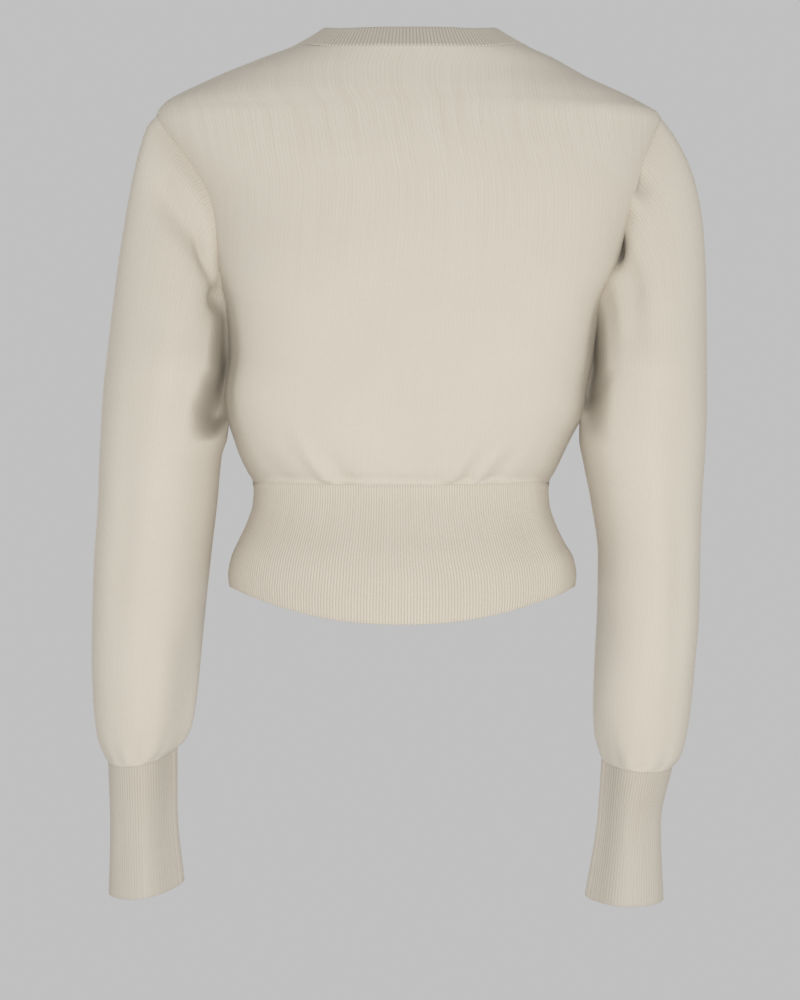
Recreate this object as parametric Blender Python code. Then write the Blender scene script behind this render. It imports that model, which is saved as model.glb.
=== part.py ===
# A cropped, fine-gauge cardigan in the form it has when worn: hollow, buttoned, with long full sleeves,
# deep rib cuffs, a deep waist rib and a ribbed neckband.
# +Z is up, the front faces -Y and the wearer's left is +X. The origin lies between the two neck points
# of the shoulders, where the wearer holds the cardigan up.
# Lengths are millimetres until a mesh is made, and angles are degrees. A turn is measured round the body
# from the centre back (0), over the wearer's left side (90), to the centre front (180); the right is minus.

import math
from collections import namedtuple

import bmesh
import bpy
from mathutils import Vector

METRE = 0.001  # metres in a millimetre
SHADE_ANGLE = math.radians(35)

# Driving sizes
JERSEY = 1.6  # wall of the plain pieces
RIB_GROUND = 1.6  # wall of the rib pieces, at the bottom of a groove
RIB_RISE = 0.8  # how far a rib stands up from its grooves
RIB_PITCH = 2.62  # across the waist rib, where it is widest
CUFF_PITCH = 2.25
NECK_PITCH = 3.1
SEAM_GAP = 0.32  # between pieces that are sewn together
NECK_EASE = 1.1  # a front's neck edge stays this far outside the neck seam's curve
LAP_GAP = 0.6  # between the two plackets, and under a button

SHOULDER_TIP = -48  # heights of the armhole's top and bottom
UNDERARM = -222
LINKING_LINE = -373  # where the body is linked to the waist rib, at the centre back
HEM = -491  # at the centre back
RIB_HEIGHTS = [-402, -448, HEM]  # rows of the waist rib below the linking line
WIDEST_RIB = -470
NECK_DROP = 95  # of the front neckline below the shoulders' neck points
NECK_HALF_WIDTH = 117
NECKBAND_WIDTH = 34
SHOULDER_SEAM = 82  # turn of the shoulder seam, which lies just behind the ridge of the shoulder
SIDE_PLANE = -12  # the body is widest this far to the front

LEFT_FRONT_EDGE = 20  # where each front ends and its placket starts, across the body
RIGHT_FRONT_EDGE = -16
PLACKET_WIDTH = 30
LAP_RAMP = 6  # across the left placket, where it dips under the right one
BUTTON_COUNT = 7
BUTTON_TOP = -82  # heights of the first and last button
BUTTON_FOOT = -474
BUTTON_RADIUS = 5.75
BUTTON_THICKNESS = 2.4

PANEL_COLUMNS = 24  # across the back
FRONT_COLUMNS = 12
TIP_REACH = 10  # the higher, the fewer of a front's columns follow its edge to the tip of the shoulder
SLEEVE_COLUMNS = 18
RIB_STRIDE = 10  # points of a rib wall's outer side for each one of its plain inside

# Rings round the body, from the hem up. `lift` is how much higher a ring's sides lie than its centre back.
Ring = namedtuple("Ring", "height half_width centre back front squareness lift")
FIGURE = [
    Ring(-495, 147, 5, 99, 113, 2.2, 36),
    Ring(-475, 148.5, 5, 100, 112.5, 2.2, 29),
    Ring(-455, 146, 5, 99, 112, 2.2, 23),
    Ring(-435, 139, 6, 95, 109, 2.2, 17),
    Ring(-415, 131.5, 6, 88, 105, 2.25, 13),
    Ring(-395, 126.5, 6, 82, 101, 2.25, 9),
    Ring(-380, 125.5, 6, 79, 98, 2.3, 7),
    Ring(-370, 127, 6, 79, 98, 2.3, 6),
    Ring(-362, 131, 6, 84, 102, 2.3, 5),
    Ring(-350, 136.5, 6, 88, 109, 2.3, 4),
    Ring(-330, 144.5, 5, 92, 115, 2.3, 2),
    Ring(-310, 149.5, 3, 95, 120, 2.3, 1),
    Ring(-290, 151, 2, 97, 124, 2.3, 0),
    Ring(-260, 152, -3, 100, 129, 2.3, 0),
    Ring(-222, 160, -5, 103, 129, 2.35, 0),
    Ring(-180, 176, -9, 104, 122, 2.45, 0),
    Ring(-125, 190, -12, 100, 108, 2.5, 0),
    Ring(-90, 203, -7, 94, 92, 2.5, 0),
    Ring(-62, 213.5, -2, 87, 74, 2.4, 0),
    Ring(-54, 216, -1, 84, 70, 2.25, 0),
    Ring(-48, 214.5, 0, 82, 67, 2.15, 0),
    Ring(-43, 209, 2, 81, 65, 2.1, 0),
    Ring(-37, 199, 4, 80, 63, 2.1, 0),
    Ring(-20, 164, 6, 77, 58, 2.15, 0),
    Ring(0, 117, 5, 72, 54, 2.2, 0),
    Ring(12, 96, 5, 66, 50, 2.2, 0),
]
FRONT_DROP = 0.3  # of a ring's lift that its centre front loses again

# Where the side seams lie, behind the widest part of the body
SideSeam = namedtuple("SideSeam", "height turn")
SIDE_SEAMS = [SideSeam(-495, 70), SideSeam(-373, 71), SideSeam(-290, 76), SideSeam(-222, 81)]
ARMHOLE_BACK_BOW = 13  # how far the armhole's edges bow into the back and the front, in degrees
ARMHOLE_FRONT_BOW = 31
UNDERARM_BLUNTNESS = 0.6  # the lower, the squarer the armhole's end
BACK_TIP_BLUNTNESS = 0.6
FRONT_TIP_BLUNTNESS = 0.5
TIP_GUIDE = -84  # above this, only a front's outermost columns follow the armhole's turn to the tip

# Which way the neckband rises from the neck seam, round the left half of the neck
Rise = namedtuple("Rise", "turn across back up")
NECKBAND_RISES = [
    Rise(0, 0, -0.81, 0.59),
    Rise(35, -0.36, -0.74, 0.58),
    Rise(60, -0.66, -0.48, 0.58),
    Rise(85, -0.89, -0.12, 0.45),
    Rise(115, -0.93, -0.10, 0.36),
    Rise(145, -0.85, 0.06, 0.50),
    Rise(160, -0.68, 0.26, 0.67),
    Rise(170, -0.40, 0.40, 0.82),
    Rise(180, 0, 0.46, 0.89),
]
NECKBAND_FAN = 40  # beside the plackets the ribs start upright, and fan out over this distance

# Soft folds pressed into the back above the linking line, and in the fronts
Fold = namedtuple("Fold", "turn lean height length width depth")
BACK_FOLDS = [
    Fold(23, 7, LINKING_LINE, 60, 4.5, -3.2),
    Fold(15, 5, LINKING_LINE, 55, 5.0, 2.0),
    Fold(-14, -3, LINKING_LINE, 62, 4.5, -3.0),
    Fold(-23, -5, LINKING_LINE, 48, 5.0, 2.4),
    Fold(46, 6, LINKING_LINE, 40, 7.0, 1.6),
    Fold(-48, -6, LINKING_LINE, 42, 7.0, 1.8),
]
FRONT_FOLDS = [
    Fold(118, -4, LINKING_LINE, 52, 6.0, -2.6),
    Fold(142, 3, LINKING_LINE, 58, 6.0, -2.4),
    Fold(-122, 5, LINKING_LINE, 55, 6.0, -2.6),
    Fold(-146, -3, LINKING_LINE, 50, 6.0, -2.2),
]

# Rings of the sleeves from the upper arm down. `outer` and `inner` are how far its sides lie from the
# middle of the body, and `forward` how far the arm has swung to the front.
Arm = namedtuple("Arm", "height outer inner forward half_depth")
LEFT_SLEEVE = [
    Arm(-262, 259, 151, -14, 60),
    Arm(-300, 262.5, 153.5, -13, 57),
    Arm(-340, 264.5, 158, -10, 54),
    Arm(-385, 266.5, 164, -5, 51),
    Arm(-430, 270, 169.5, 2, 50),
    Arm(-475, 272, 174.5, 9, 49),
    Arm(-520, 273, 179, 17, 48),
    Arm(-555, 272, 183.5, 24, 46),
    Arm(-582, 269.5, 190, 29, 42),
    Arm(-599, 264, 196, 32, 34),
    Arm(-607, 259.5, 200, 34, 29),
]
RIGHT_SLEEVE = [
    Arm(-262, 256.5, 158, -14, 60),
    Arm(-300, 256.5, 151.5, -13, 57),
    Arm(-340, 255, 151.5, -10, 54),
    Arm(-385, 252.5, 158, -5, 51),
    Arm(-430, 251.5, 163.5, 2, 50),
    Arm(-475, 251, 163, 9, 49),
    Arm(-520, 248, 161, 17, 48),
    Arm(-555, 245, 160, 24, 46),
    Arm(-582, 241.5, 161, 29, 42),
    Arm(-602, 236, 165, 32, 34),
    Arm(-611, 229, 168, 34, 29),
]
LEFT_CUFF = [
    Arm(-607, 259.5, 200, 34, 29),
    Arm(-660, 259.5, 201, 46, 27),
    Arm(-722, 262, 196, 60, 31),
]
RIGHT_CUFF = [
    Arm(-611, 229, 168, 34, 29),
    Arm(-660, 219.5, 167.5, 46, 27),
    Arm(-727, 222.5, 154.5, 60, 32),
]
CUFF_LEAN = 0.2  # how much lower a sleeve's ring is at its back, for each millimetre of depth
CAP_STEPS = [0, 0.05, 0.14, 0.28, 0.48, 0.73]  # rings of a sleeve's cap, from the armhole to its first ring
Swell = namedtuple("Swell", "start finish")  # how fast a cap swells beside its seam and above its first ring
LEFT_CAP = Swell(0.56, 1)
RIGHT_CAP = Swell(1, 3.8)

# Folds of a sleeve: round it, 0 is at the body, 90 at the back and 180 outside
LEFT_SLEEVE_FOLDS = [
    Fold(52, -20, -610, 110, 12, -3.5),
    Fold(120, 4, -610, 45, 12, -2.0),
    Fold(205, 6, -610, 50, 14, -2.2),
    Fold(290, -6, -610, 60, 13, -2.6),
    Fold(35, 8, -300, 60, 16, -4.0),
]
RIGHT_SLEEVE_FOLDS = [
    Fold(40, -8, -612, 55, 12, -2.5),
    Fold(110, 6, -612, 45, 13, -2.0),
    Fold(200, -4, -612, 48, 14, -2.2),
    Fold(285, 7, -612, 62, 13, -2.6),
    Fold(30, 8, -300, 50, 16, -2.5),
]

CLOTH_COLOUR = (0.68, 0.63, 0.54)
RIB_COLOUR = (0.64, 0.58, 0.48)
BUTTON_COLOUR = (0.74, 0.69, 0.58)


class Curve:
    """A smooth curve through pairs of a key and a value, which never swings past them."""

    def __init__(self, rows, key, value):
        pairs = sorted((getattr(row, key), getattr(row, value)) for row in rows)
        self.keys = [pair[0] for pair in pairs]
        self.values = [pair[1] for pair in pairs]
        rises = [
            (self.values[i + 1] - self.values[i]) / (self.keys[i + 1] - self.keys[i])
            for i in range(len(pairs) - 1)
        ]
        middle = [2 * a * b / (a + b) if a * b > 0 else 0.0 for a, b in zip(rises, rises[1:])]
        self.slopes = [rises[0]] + middle + [rises[-1]]

    def __call__(self, at):
        last = len(self.keys) - 2
        i = 0
        while i < last and at > self.keys[i + 1]:
            i += 1
        span = self.keys[i + 1] - self.keys[i]
        t = min(max((at - self.keys[i]) / span, 0.0), 1.0)
        bend = t * t * (3 - 2 * t)
        return (
            self.values[i] * (1 - bend)
            + self.values[i + 1] * bend
            + span * self.slopes[i] * t * (1 - t) ** 2
            - span * self.slopes[i + 1] * t * t * (1 - t)
        )


RING_CURVES = {field: Curve(FIGURE, "height", field) for field in Ring._fields[1:]}
SIDE_SEAM_CURVE = Curve(SIDE_SEAMS, "height", "turn")
RISE_CURVES = [Curve(NECKBAND_RISES, "turn", field) for field in Rise._fields[1:]]


def signed_power(value, power):
    return math.copysign(abs(value) ** power, value)


def figure(turn, height):
    """A point on the outside of the body."""
    ring = {field: curve(height) for field, curve in RING_CURVES.items()}
    angle = math.radians(turn)
    power = 2 / ring["squareness"]
    depth = signed_power(math.cos(angle), power)
    drop = math.cos(angle) ** 2 * (1 if depth > 0 else FRONT_DROP)
    return Vector((
        ring["centre"] + ring["half_width"] * signed_power(math.sin(angle), power),
        SIDE_PLANE + depth * (ring["back"] - SIDE_PLANE if depth > 0 else ring["front"] + SIDE_PLANE),
        height + ring["lift"] * (1 - drop),
    ))


def outward(surface, turn, along, step=0.5):
    """The direction that faces out of a surface whose second value grows upwards."""
    across = surface(turn + step, along) - surface(turn - step, along)
    upward = surface(turn, along + step) - surface(turn, along - step)
    return upward.cross(across).normalized()


def turn_per_millimetre(surface, turn, along, step=0.5):
    return 2 * step / (surface(turn + step, along) - surface(turn - step, along)).length


def front_turn(across, height):
    """The turn of a point of the front that lies a given distance across the body."""
    share = (across - RING_CURVES["centre"](height)) / RING_CURVES["half_width"](height)
    lean = math.degrees(math.asin(abs(share) ** (RING_CURVES["squareness"](height) / 2)))
    return math.copysign(180 - lean, share)


def neck_seam_height(turn, ease=0.0):
    """The height at which a half ellipse across the front meets a turn of the body."""
    low, high = -NECK_DROP - ease, 0.0
    for _ in range(30):
        height = (low + high) / 2
        across = figure(turn, height).x - RING_CURVES["centre"](height)
        outside = (across / (NECK_HALF_WIDTH + ease)) ** 2 + (height / (NECK_DROP + ease)) ** 2 > 1
        low, high = (height, high) if outside else (low, height)
    return (low + high) / 2


NeckSeam = namedtuple("NeckSeam", "turn height")
NECK_SEAMS = [NeckSeam(turn, neck_seam_height(turn)) for turn in range(92, 181, 2)]
NECK_SEAM_CURVE = Curve([NeckSeam(0, 0), NeckSeam(90, 0)] + NECK_SEAMS, "turn", "height")


def neckline(turn):
    """The height of the neck seam: level round the back, and a half ellipse across the front."""
    return NECK_SEAM_CURVE(180 - abs(180 - abs(turn)))


def neckband_point(turn, along):
    """A point of the neckband, `along` its width from the neck seam."""
    seam = figure(turn, neckline(turn))
    half_turn = 180 - abs(180 - abs(turn))
    rise = Vector(curve(half_turn) for curve in RISE_CURVES)
    rise.x = math.copysign(rise.x, -seam.x)
    if half_turn > 90:
        rise.x *= min(max((abs(seam.x) - LEFT_FRONT_EDGE) / NECKBAND_FAN, 0), 1)
    return seam + along * rise.normalized()


def armhole_share(height):
    """How far up the armhole a height lies, from 0 at the underarm to 1 at the tip of the shoulder."""
    return min(max((height - UNDERARM) / (SHOULDER_TIP - UNDERARM), 0.0), 1.0)


def edge_turn(height, bow):
    """The turn of a panel's side: the side seam, then the armhole, then the shoulder seam."""
    if height <= UNDERARM:
        return SIDE_SEAM_CURVE(height)
    share = armhole_share(height)
    top = SIDE_SEAMS[-1].turn
    start = top + (SHOULDER_SEAM - top) * share
    tip = BACK_TIP_BLUNTNESS if bow < 0 else FRONT_TIP_BLUNTNESS
    bluntness = UNDERARM_BLUNTNESS + (tip - UNDERARM_BLUNTNESS) * share
    return start + bow * abs(math.sin(math.pi * share)) ** bluntness


def guide_turn(height):
    """The front's edge at the armhole, without its quick turn to the tip of the shoulder."""
    if height <= TIP_GUIDE:
        return edge_turn(height, ARMHOLE_FRONT_BOW)
    low = edge_turn(TIP_GUIDE, ARMHOLE_FRONT_BOW)
    return low + (SHOULDER_SEAM - low) * (1 - height / TIP_GUIDE)


def armhole(turn):
    """The seam of the armhole, for a turn round the arm: 0 underarm, 90 back, 180 tip, 270 front."""
    share = (1 - math.cos(math.radians(turn))) / 2
    height = UNDERARM + share * (SHOULDER_TIP - UNDERARM)
    bow = -ARMHOLE_BACK_BOW if turn % 360 < 180 else ARMHOLE_FRONT_BOW
    return edge_turn(height, bow), height


def spread(surface_row, first, last, shares, samples=48):
    """Turns between first and last that lie at the given shares of the length of a row."""
    turns = [first + (last - first) * i / samples for i in range(samples + 1)]
    points = [surface_row(turn) for turn in turns]
    lengths = [0.0]
    for a, b in zip(points, points[1:]):
        lengths.append(lengths[-1] + (b - a).length)
    placed = []
    i = 0
    for share in shares:
        target = share * lengths[-1]
        while i < samples - 1 and lengths[i + 1] < target:
            i += 1
        rest = (target - lengths[i]) / (lengths[i + 1] - lengths[i])
        placed.append(turns[i] + (turns[i + 1] - turns[i]) * rest)
    return placed


def fold_relief(folds, turn, height):
    """How far folds press a point of the cloth in or out."""
    relief = 0.0
    for fold in folds:
        rise = (height - fold.height) / fold.length
        if not 0 <= rise < 1:
            continue
        offset = (turn - fold.turn - fold.lean * rise) / fold.width
        relief += fold.depth * math.exp(-offset * offset) * (1 - rise) ** 1.5 * min(1, rise * 12)
    return relief


def material(name, colour, roughness):
    made = bpy.data.materials.new(name)
    made.use_nodes = True
    shader = made.node_tree.nodes["Principled BSDF"]
    shader.inputs["Base Color"].default_value = (*colour, 1)
    shader.inputs["Roughness"].default_value = roughness
    shader.inputs["Metallic"].default_value = 0
    return made


def add_object(name, bm, colour, roughness):
    """Closes the books on a mesh: faces out, true size, its own material."""
    bmesh.ops.recalc_face_normals(bm, faces=bm.faces)
    if bm.calc_volume(signed=True) < 0:
        bmesh.ops.reverse_faces(bm, faces=bm.faces)
    bmesh.ops.scale(bm, vec=(METRE, METRE, METRE), verts=bm.verts)
    mesh = bpy.data.meshes.new(name)
    bm.to_mesh(mesh)
    bm.free()
    mesh.shade_smooth()
    mesh.set_sharp_from_angle(angle=SHADE_ANGLE)
    mesh.materials.append(material(f"{name}_finish", colour, roughness))
    made = bpy.data.objects.new(name, mesh)
    bpy.context.scene.collection.objects.link(made)
    return made


def wall(name, outer, inner, stride=1, closed=False, colour=CLOTH_COLOUR):
    """A closed wall between two grids of rows. The inner rows take one point in `stride`."""
    bm = bmesh.new()
    count = len(outer[0])
    picks = list(range(0, count, stride))
    if not closed and picks[-1] != count - 1:
        picks.append(count - 1)
    outside = [[bm.verts.new(point) for point in row] for row in outer]
    inside = [{i: bm.verts.new(row[i]) for i in picks} for row in inner]
    steps = list(zip(range(count), range(1, count))) + ([(count - 1, 0)] if closed else [])
    spans = list(zip(picks, picks[1:])) + ([(picks[-1], 0)] if closed else [])
    for low, high in zip(outside, outside[1:]):
        for a, b in steps:
            bm.faces.new((low[a], low[b], high[b], high[a]))
    for low, high in zip(inside, inside[1:]):
        for a, b in spans:
            bm.faces.new((low[a], high[a], high[b], low[b]))
    for edge, back in ((outside[0], inside[0]), (outside[-1], inside[-1])):
        for a, b in spans:
            run = [i % count for i in range(a, (b or count) + 1)]
            half = len(run) // 2
            for i, j in zip(run[:half], run[1:half + 1]):
                bm.faces.new((back[a], edge[i], edge[j]))
            bm.faces.new((back[a], edge[run[half]], back[b]))
            for i, j in zip(run[half:], run[half + 1:]):
                bm.faces.new((back[b], edge[i], edge[j]))
    if not closed:
        for i in (0, count - 1):
            for j in range(len(outside) - 1):
                bm.faces.new((outside[j][i], outside[j + 1][i], inside[j + 1][i], inside[j][i]))
    return add_object(name, bm, colour, roughness=0.9)


def skins(rows, normals, ground, relief=None):
    """The outer and inner grids of a wall on the given points."""
    relief = relief or [[0.0] * len(row) for row in rows]
    outer = [[p + n * r for p, n, r in zip(*trio)] for trio in zip(rows, normals, relief)]
    inner = [[p - n * ground for p, n in zip(*pair)] for pair in zip(rows, normals)]
    return outer, inner


def panel_heights():
    """Rows of the panels: close together at the linking line and the armhole's two ends."""
    below = [-2, -7, -17, -34, -62, -104]
    armhole_rows = [armhole(360 * i / SLEEVE_COLUMNS)[1] for i in range(SLEEVE_COLUMNS // 2 + 1)]
    above = [SHOULDER_TIP * (1 - share) for share in (0.22, 0.48, 0.74)]
    start = LINKING_LINE + SEAM_GAP / 2
    return [start] + [LINKING_LINE - step for step in below] + armhole_rows + above + [-SEAM_GAP / 2]


def even_shares(count):
    return [i / count for i in range(count + 1)]


def inset_turn(turn, height, toward):
    """A seam's turn, moved half a seam's gap into the panel that lies toward another turn."""
    step = turn_per_millimetre(figure, turn, height) * SEAM_GAP / 2
    return turn + math.copysign(step, toward - turn)


def back_panel():
    rows, normals, relief = [], [], []
    for height in panel_heights():
        edge = edge_turn(height, -ARMHOLE_BACK_BOW)
        right, left = inset_turn(-edge, height, 0), inset_turn(edge, height, 0)
        turns = spread(lambda turn: figure(turn, height), right, left, even_shares(PANEL_COLUMNS))
        rows.append([figure(turn, height) for turn in turns])
        normals.append([outward(figure, turn, height) for turn in turns])
        relief.append([fold_relief(BACK_FOLDS, turn, height) for turn in turns])
    wall("back", *panel_skins(rows, normals, relief))


def panel_skins(rows, normals, relief):
    """Skins of a panel whose folds move both of its sides together."""
    moved = [[p + n * r for p, n, r in zip(*trio)] for trio in zip(rows, normals, relief)]
    return skins(moved, normals, JERSEY)


def front_panel(name, side, edge_across):
    """A front from its placket's seam round to the side seam, armhole and shoulder seam."""
    heights = panel_heights()
    bottom, top = heights[0], heights[-1]
    centre_turn = inset_turn(front_turn(edge_across, -NECK_DROP), -NECK_DROP, 0)
    neck_turns = spread(
        lambda turn: figure(turn, neckline(turn)),
        centre_turn,
        inset_turn(side * SHOULDER_SEAM, 0, side * 180),
        even_shares(FRONT_COLUMNS),
    )

    def turn_at(share, level, height):
        first = inset_turn(front_turn(edge_across, level), level, 0)
        guide = inset_turn(side * guide_turn(height), height, side * 180)
        edge = inset_turn(side * edge_turn(height, ARMHOLE_FRONT_BOW), height, side * 180)
        turn = spread(lambda turn: figure(turn, level), first, guide, [share])[0]
        return turn + (edge - guide) * share**TIP_REACH

    columns = []
    for share, neck_turn in zip(even_shares(FRONT_COLUMNS), neck_turns):
        neck_height = top if share == 1 else neck_seam_height(neck_turn, NECK_EASE)
        correction = neck_turn - turn_at(share, neck_height, top)
        column = []
        for height in heights:
            climb = (height - bottom) / (top - bottom)
            level = bottom + climb * (neck_height - bottom)
            bend = climb * climb * (3 - 2 * climb)
            column.append((turn_at(share, level, height) + correction * bend, level))
        columns.append(column)
    places = list(zip(*columns))
    rows = [[figure(*place) for place in row] for row in places]
    normals = [[outward(figure, *place) for place in row] for row in places]
    relief = [[fold_relief(FRONT_FOLDS, *place) for place in row] for row in places]
    wall(name, *panel_skins(rows, normals, relief))


def rib_relief(count):
    """Groove, ridge, groove, ridge: the outer points of a rib wall."""
    return [RIB_RISE * (i % 2) for i in range(count)]


def row_length(surface_row, first, last, samples=120):
    points = [surface_row(first + (last - first) * i / samples) for i in range(samples + 1)]
    return sum((b - a).length for a, b in zip(points, points[1:]))


def waist_rib(name, first_edge, last_edge):
    """A part of the waist rib between two seams, given as functions of the height."""
    heights = [LINKING_LINE - SEAM_GAP / 2] + RIB_HEIGHTS
    widest_row = lambda turn: figure(turn, WIDEST_RIB)
    length = row_length(widest_row, first_edge(WIDEST_RIB), last_edge(WIDEST_RIB))
    points = 2 * round(length / RIB_PITCH)
    rows, normals, relief = [], [], []
    for height in heights:
        first = inset_turn(first_edge(height), height, last_edge(height))
        last = inset_turn(last_edge(height), height, first_edge(height))
        turns = spread(lambda turn: figure(turn, height), first, last, even_shares(points), samples=720)
        rows.append([figure(turn, height) for turn in turns])
        normals.append([outward(figure, turn, height) for turn in turns])
        relief.append(rib_relief(points + 1))
    outer, inner = skins(rows, normals, RIB_GROUND, relief)
    wall(name, outer, inner, stride=RIB_STRIDE, colour=RIB_COLOUR)


def arm_ring(table, turn, height):
    """A point on the outside of a sleeve or cuff of the wearer's left side."""
    outer, inner, forward, depth = (curve(height) for curve in table)
    angle = math.radians(turn)
    x = (outer + inner) / 2 - (outer - inner) / 2 * math.cos(angle)
    y = depth * math.sin(angle)
    return Vector((x, y - forward, height - CUFF_LEAN * y))


def arm_curves(rows):
    return [Curve(rows, "height", field) for field in ("outer", "inner", "forward", "half_depth")]


def ring_normals(rows):
    """Directions facing out of closed rows that run down an arm, as turns grow from the body to the back."""
    count = len(rows[0])
    normals = []
    for j, row in enumerate(rows):
        above, below = rows[max(j - 1, 0)], rows[min(j + 1, len(rows) - 1)]
        normals.append([
            (above[i] - below[i]).cross(row[(i + 1) % count] - row[i - 1]).normalized() for i in range(count)
        ])
    return normals


def sleeve(name, side, arm_rows, swell, folds):
    """A set-in sleeve: its cap runs from the armhole's seam to the first ring of its table."""
    table = arm_curves(arm_rows)
    first_ring = arm_rows[0].height
    turns = [360 * i / SLEEVE_COLUMNS for i in range(SLEEVE_COLUMNS)]
    seam, seam_normals = [], []
    for turn in turns:
        body_turn, height = armhole(turn)
        point, normal = figure(side * body_turn, height), outward(figure, side * body_turn, height)
        seam.append(point)
        seam_normals.append(normal)
    away = []
    for i, normal in enumerate(seam_normals):
        along = seam[(i + 1) % SLEEVE_COLUMNS] - seam[i - 1]
        away.append((normal.cross(along) * side).normalized())
    start = []
    for turn, point, normal, off in zip(turns, seam, seam_normals, away):
        under = max(math.cos(math.radians(turn)), 0)
        start.append(point + (off * (1 - under) + normal * under) * SEAM_GAP)
    flipped = Vector((side, 1, 1))
    rows = [start]
    for step in CAP_STEPS[1:]:
        row = []
        for turn, point in zip(turns, start):
            end = arm_ring(table, turn, first_ring) * flipped
            outside = abs(end.x) > abs(point.x)
            ease = 1 - (1 - step**swell.start) ** swell.finish if outside else step
            row.append(Vector((
                point.x + (end.x - point.x) * ease,
                point.y + (end.y - point.y) * step**0.7,
                point.z + (end.z - point.z) * step,
            )))
        rows.append(row)
    heights = [row.height for row in arm_rows]
    heights[-1] += SEAM_GAP
    rows += [[arm_ring(table, turn, height) * flipped for turn in turns] for height in heights]
    normals = ring_normals(rows)
    if side < 0:
        normals = [[-normal for normal in row] for row in normals]
    normals[0] = [(n - off * max(n.dot(off), 0)).normalized() for n, off in zip(normals[0], away)]
    relief = [[0.0] * SLEEVE_COLUMNS for _ in CAP_STEPS]
    relief += [[sleeve_relief(folds, turn, height) for turn in turns] for height in heights]
    wall(name, *panel_skins(rows, normals, relief), closed=True)


def sleeve_relief(folds, turn, height):
    return sum(fold_relief(folds, turn + whole, height) for whole in (-360, 0, 360))


def cuff(name, side, arm_rows):
    table = arm_curves(arm_rows)
    middle = arm_rows[1]
    around = math.pi * ((middle.outer - middle.inner) / 2 + middle.half_depth)
    ribs = RIB_STRIDE // 2 * round(around / CUFF_PITCH / (RIB_STRIDE // 2))
    points = 2 * ribs
    turns = [360 * i / points for i in range(points)]
    flipped = Vector((side, 1, 1))
    heights = [arm_rows[0].height - SEAM_GAP / 2] + [row.height for row in arm_rows[1:]]
    rows = [[arm_ring(table, turn, height) * flipped for turn in turns] for height in heights]
    normals = ring_normals(rows)
    if side < 0:
        normals = [[-normal for normal in row] for row in normals]
    relief = [rib_relief(points) for _ in rows]
    outer, inner = skins(rows, normals, RIB_GROUND, relief)
    wall(name, outer, inner, stride=RIB_STRIDE, closed=True, colour=RIB_COLOUR)


def neckband():
    """The ribbed band round the neck, whose ends meet the plackets."""
    left = front_turn(LEFT_FRONT_EDGE, -NECK_DROP)
    right = front_turn(RIGHT_FRONT_EDGE, -NECK_DROP)
    first, last = inset_turn(right, -NECK_DROP, 0), inset_turn(left, -NECK_DROP, 0)
    seam_row = lambda turn: figure(turn, neckline(turn))
    points = 2 * round(row_length(seam_row, first, last) / NECK_PITCH)
    turns = spread(seam_row, first, last, even_shares(points), samples=720)
    steps = [SEAM_GAP / 2, NECKBAND_WIDTH]
    rows = [[neckband_point(turn, step) for turn in turns] for step in steps]
    normals = [[outward(neckband_point, turn, step) for turn in turns] for step in steps]
    normals[0] = [outward(figure, turn, neckline(turn)) for turn in turns]
    outer, inner = skins(rows, normals, RIB_GROUND, [rib_relief(points + 1) for _ in rows])
    wall("neckband", outer, inner, stride=RIB_STRIDE, colour=RIB_COLOUR)


def front_surface(across, climb):
    """A point near the centre front, at a climb from the hem's height, onto the neckband's slant."""
    if climb <= -NECK_DROP:
        return figure(front_turn(across, climb), climb)
    return neckband_point(front_turn(across, -NECK_DROP), climb + NECK_DROP)


def front_normal(across, climb, step=0.5):
    side_step = front_surface(across + step, climb) - front_surface(across - step, climb)
    upward = front_surface(across, climb + step) - front_surface(across, climb - step)
    return side_step.cross(upward).normalized()


def placket_climbs():
    """Rows of a placket: the same as those of the rib, the front and the neckband beside it."""
    heights = panel_heights()
    bottom, top = heights[0], heights[-1]
    front_rows = [bottom + (height - bottom) / (top - bottom) * (-NECK_DROP - bottom) for height in heights]
    return RIB_HEIGHTS[::-1] + front_rows + [-NECK_DROP + NECKBAND_WIDTH]


def placket(name, start, end, lift_at):
    """A strip down the front between two distances across. `lift_at` raises or sinks it across its width."""
    climbs = placket_climbs()
    shares = [0, 0.1, 0.2, 0.6, 1]
    rows, normals = [], []
    for climb in climbs:
        row, facing = [], []
        for share in shares:
            across = start + (end - start) * share
            facing.append(front_normal(across, climb))
            row.append(front_surface(across, climb) + facing[-1] * lift_at(across))
        rows.append(row)
        normals.append(facing)
    wall(name, *skins(rows, normals, JERSEY))


def lap_under(across):
    """The left placket dips under the right one."""
    share = min(max((LEFT_FRONT_EDGE - across) / LAP_RAMP, 0.0), 1.0)
    return -(JERSEY + LAP_GAP) * share * share * (3 - 2 * share)


def button(index, climb):
    """A dished button, face to the front, on the right placket."""
    across = RIGHT_FRONT_EDGE + PLACKET_WIDTH / 2
    normal = front_normal(across, climb)
    bm = bmesh.new()
    bmesh.ops.create_cone(
        bm, cap_ends=True, segments=14, radius1=BUTTON_RADIUS, radius2=BUTTON_RADIUS, depth=BUTTON_THICKNESS
    )
    face = max(bm.faces, key=lambda f: f.calc_center_median().z)
    bmesh.ops.inset_region(bm, faces=[face], thickness=1.1, depth=0)
    bmesh.ops.inset_region(bm, faces=[face], thickness=0.5, depth=-0.6)
    made = add_object(f"button_{index}", bm, BUTTON_COLOUR, roughness=0.35)
    seat = front_surface(across, climb) + normal * (LAP_GAP + BUTTON_THICKNESS / 2)
    made.location = seat * METRE
    made.rotation_mode = "QUATERNION"
    made.rotation_quaternion = Vector((0, 0, 1)).rotation_difference(normal)


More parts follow.
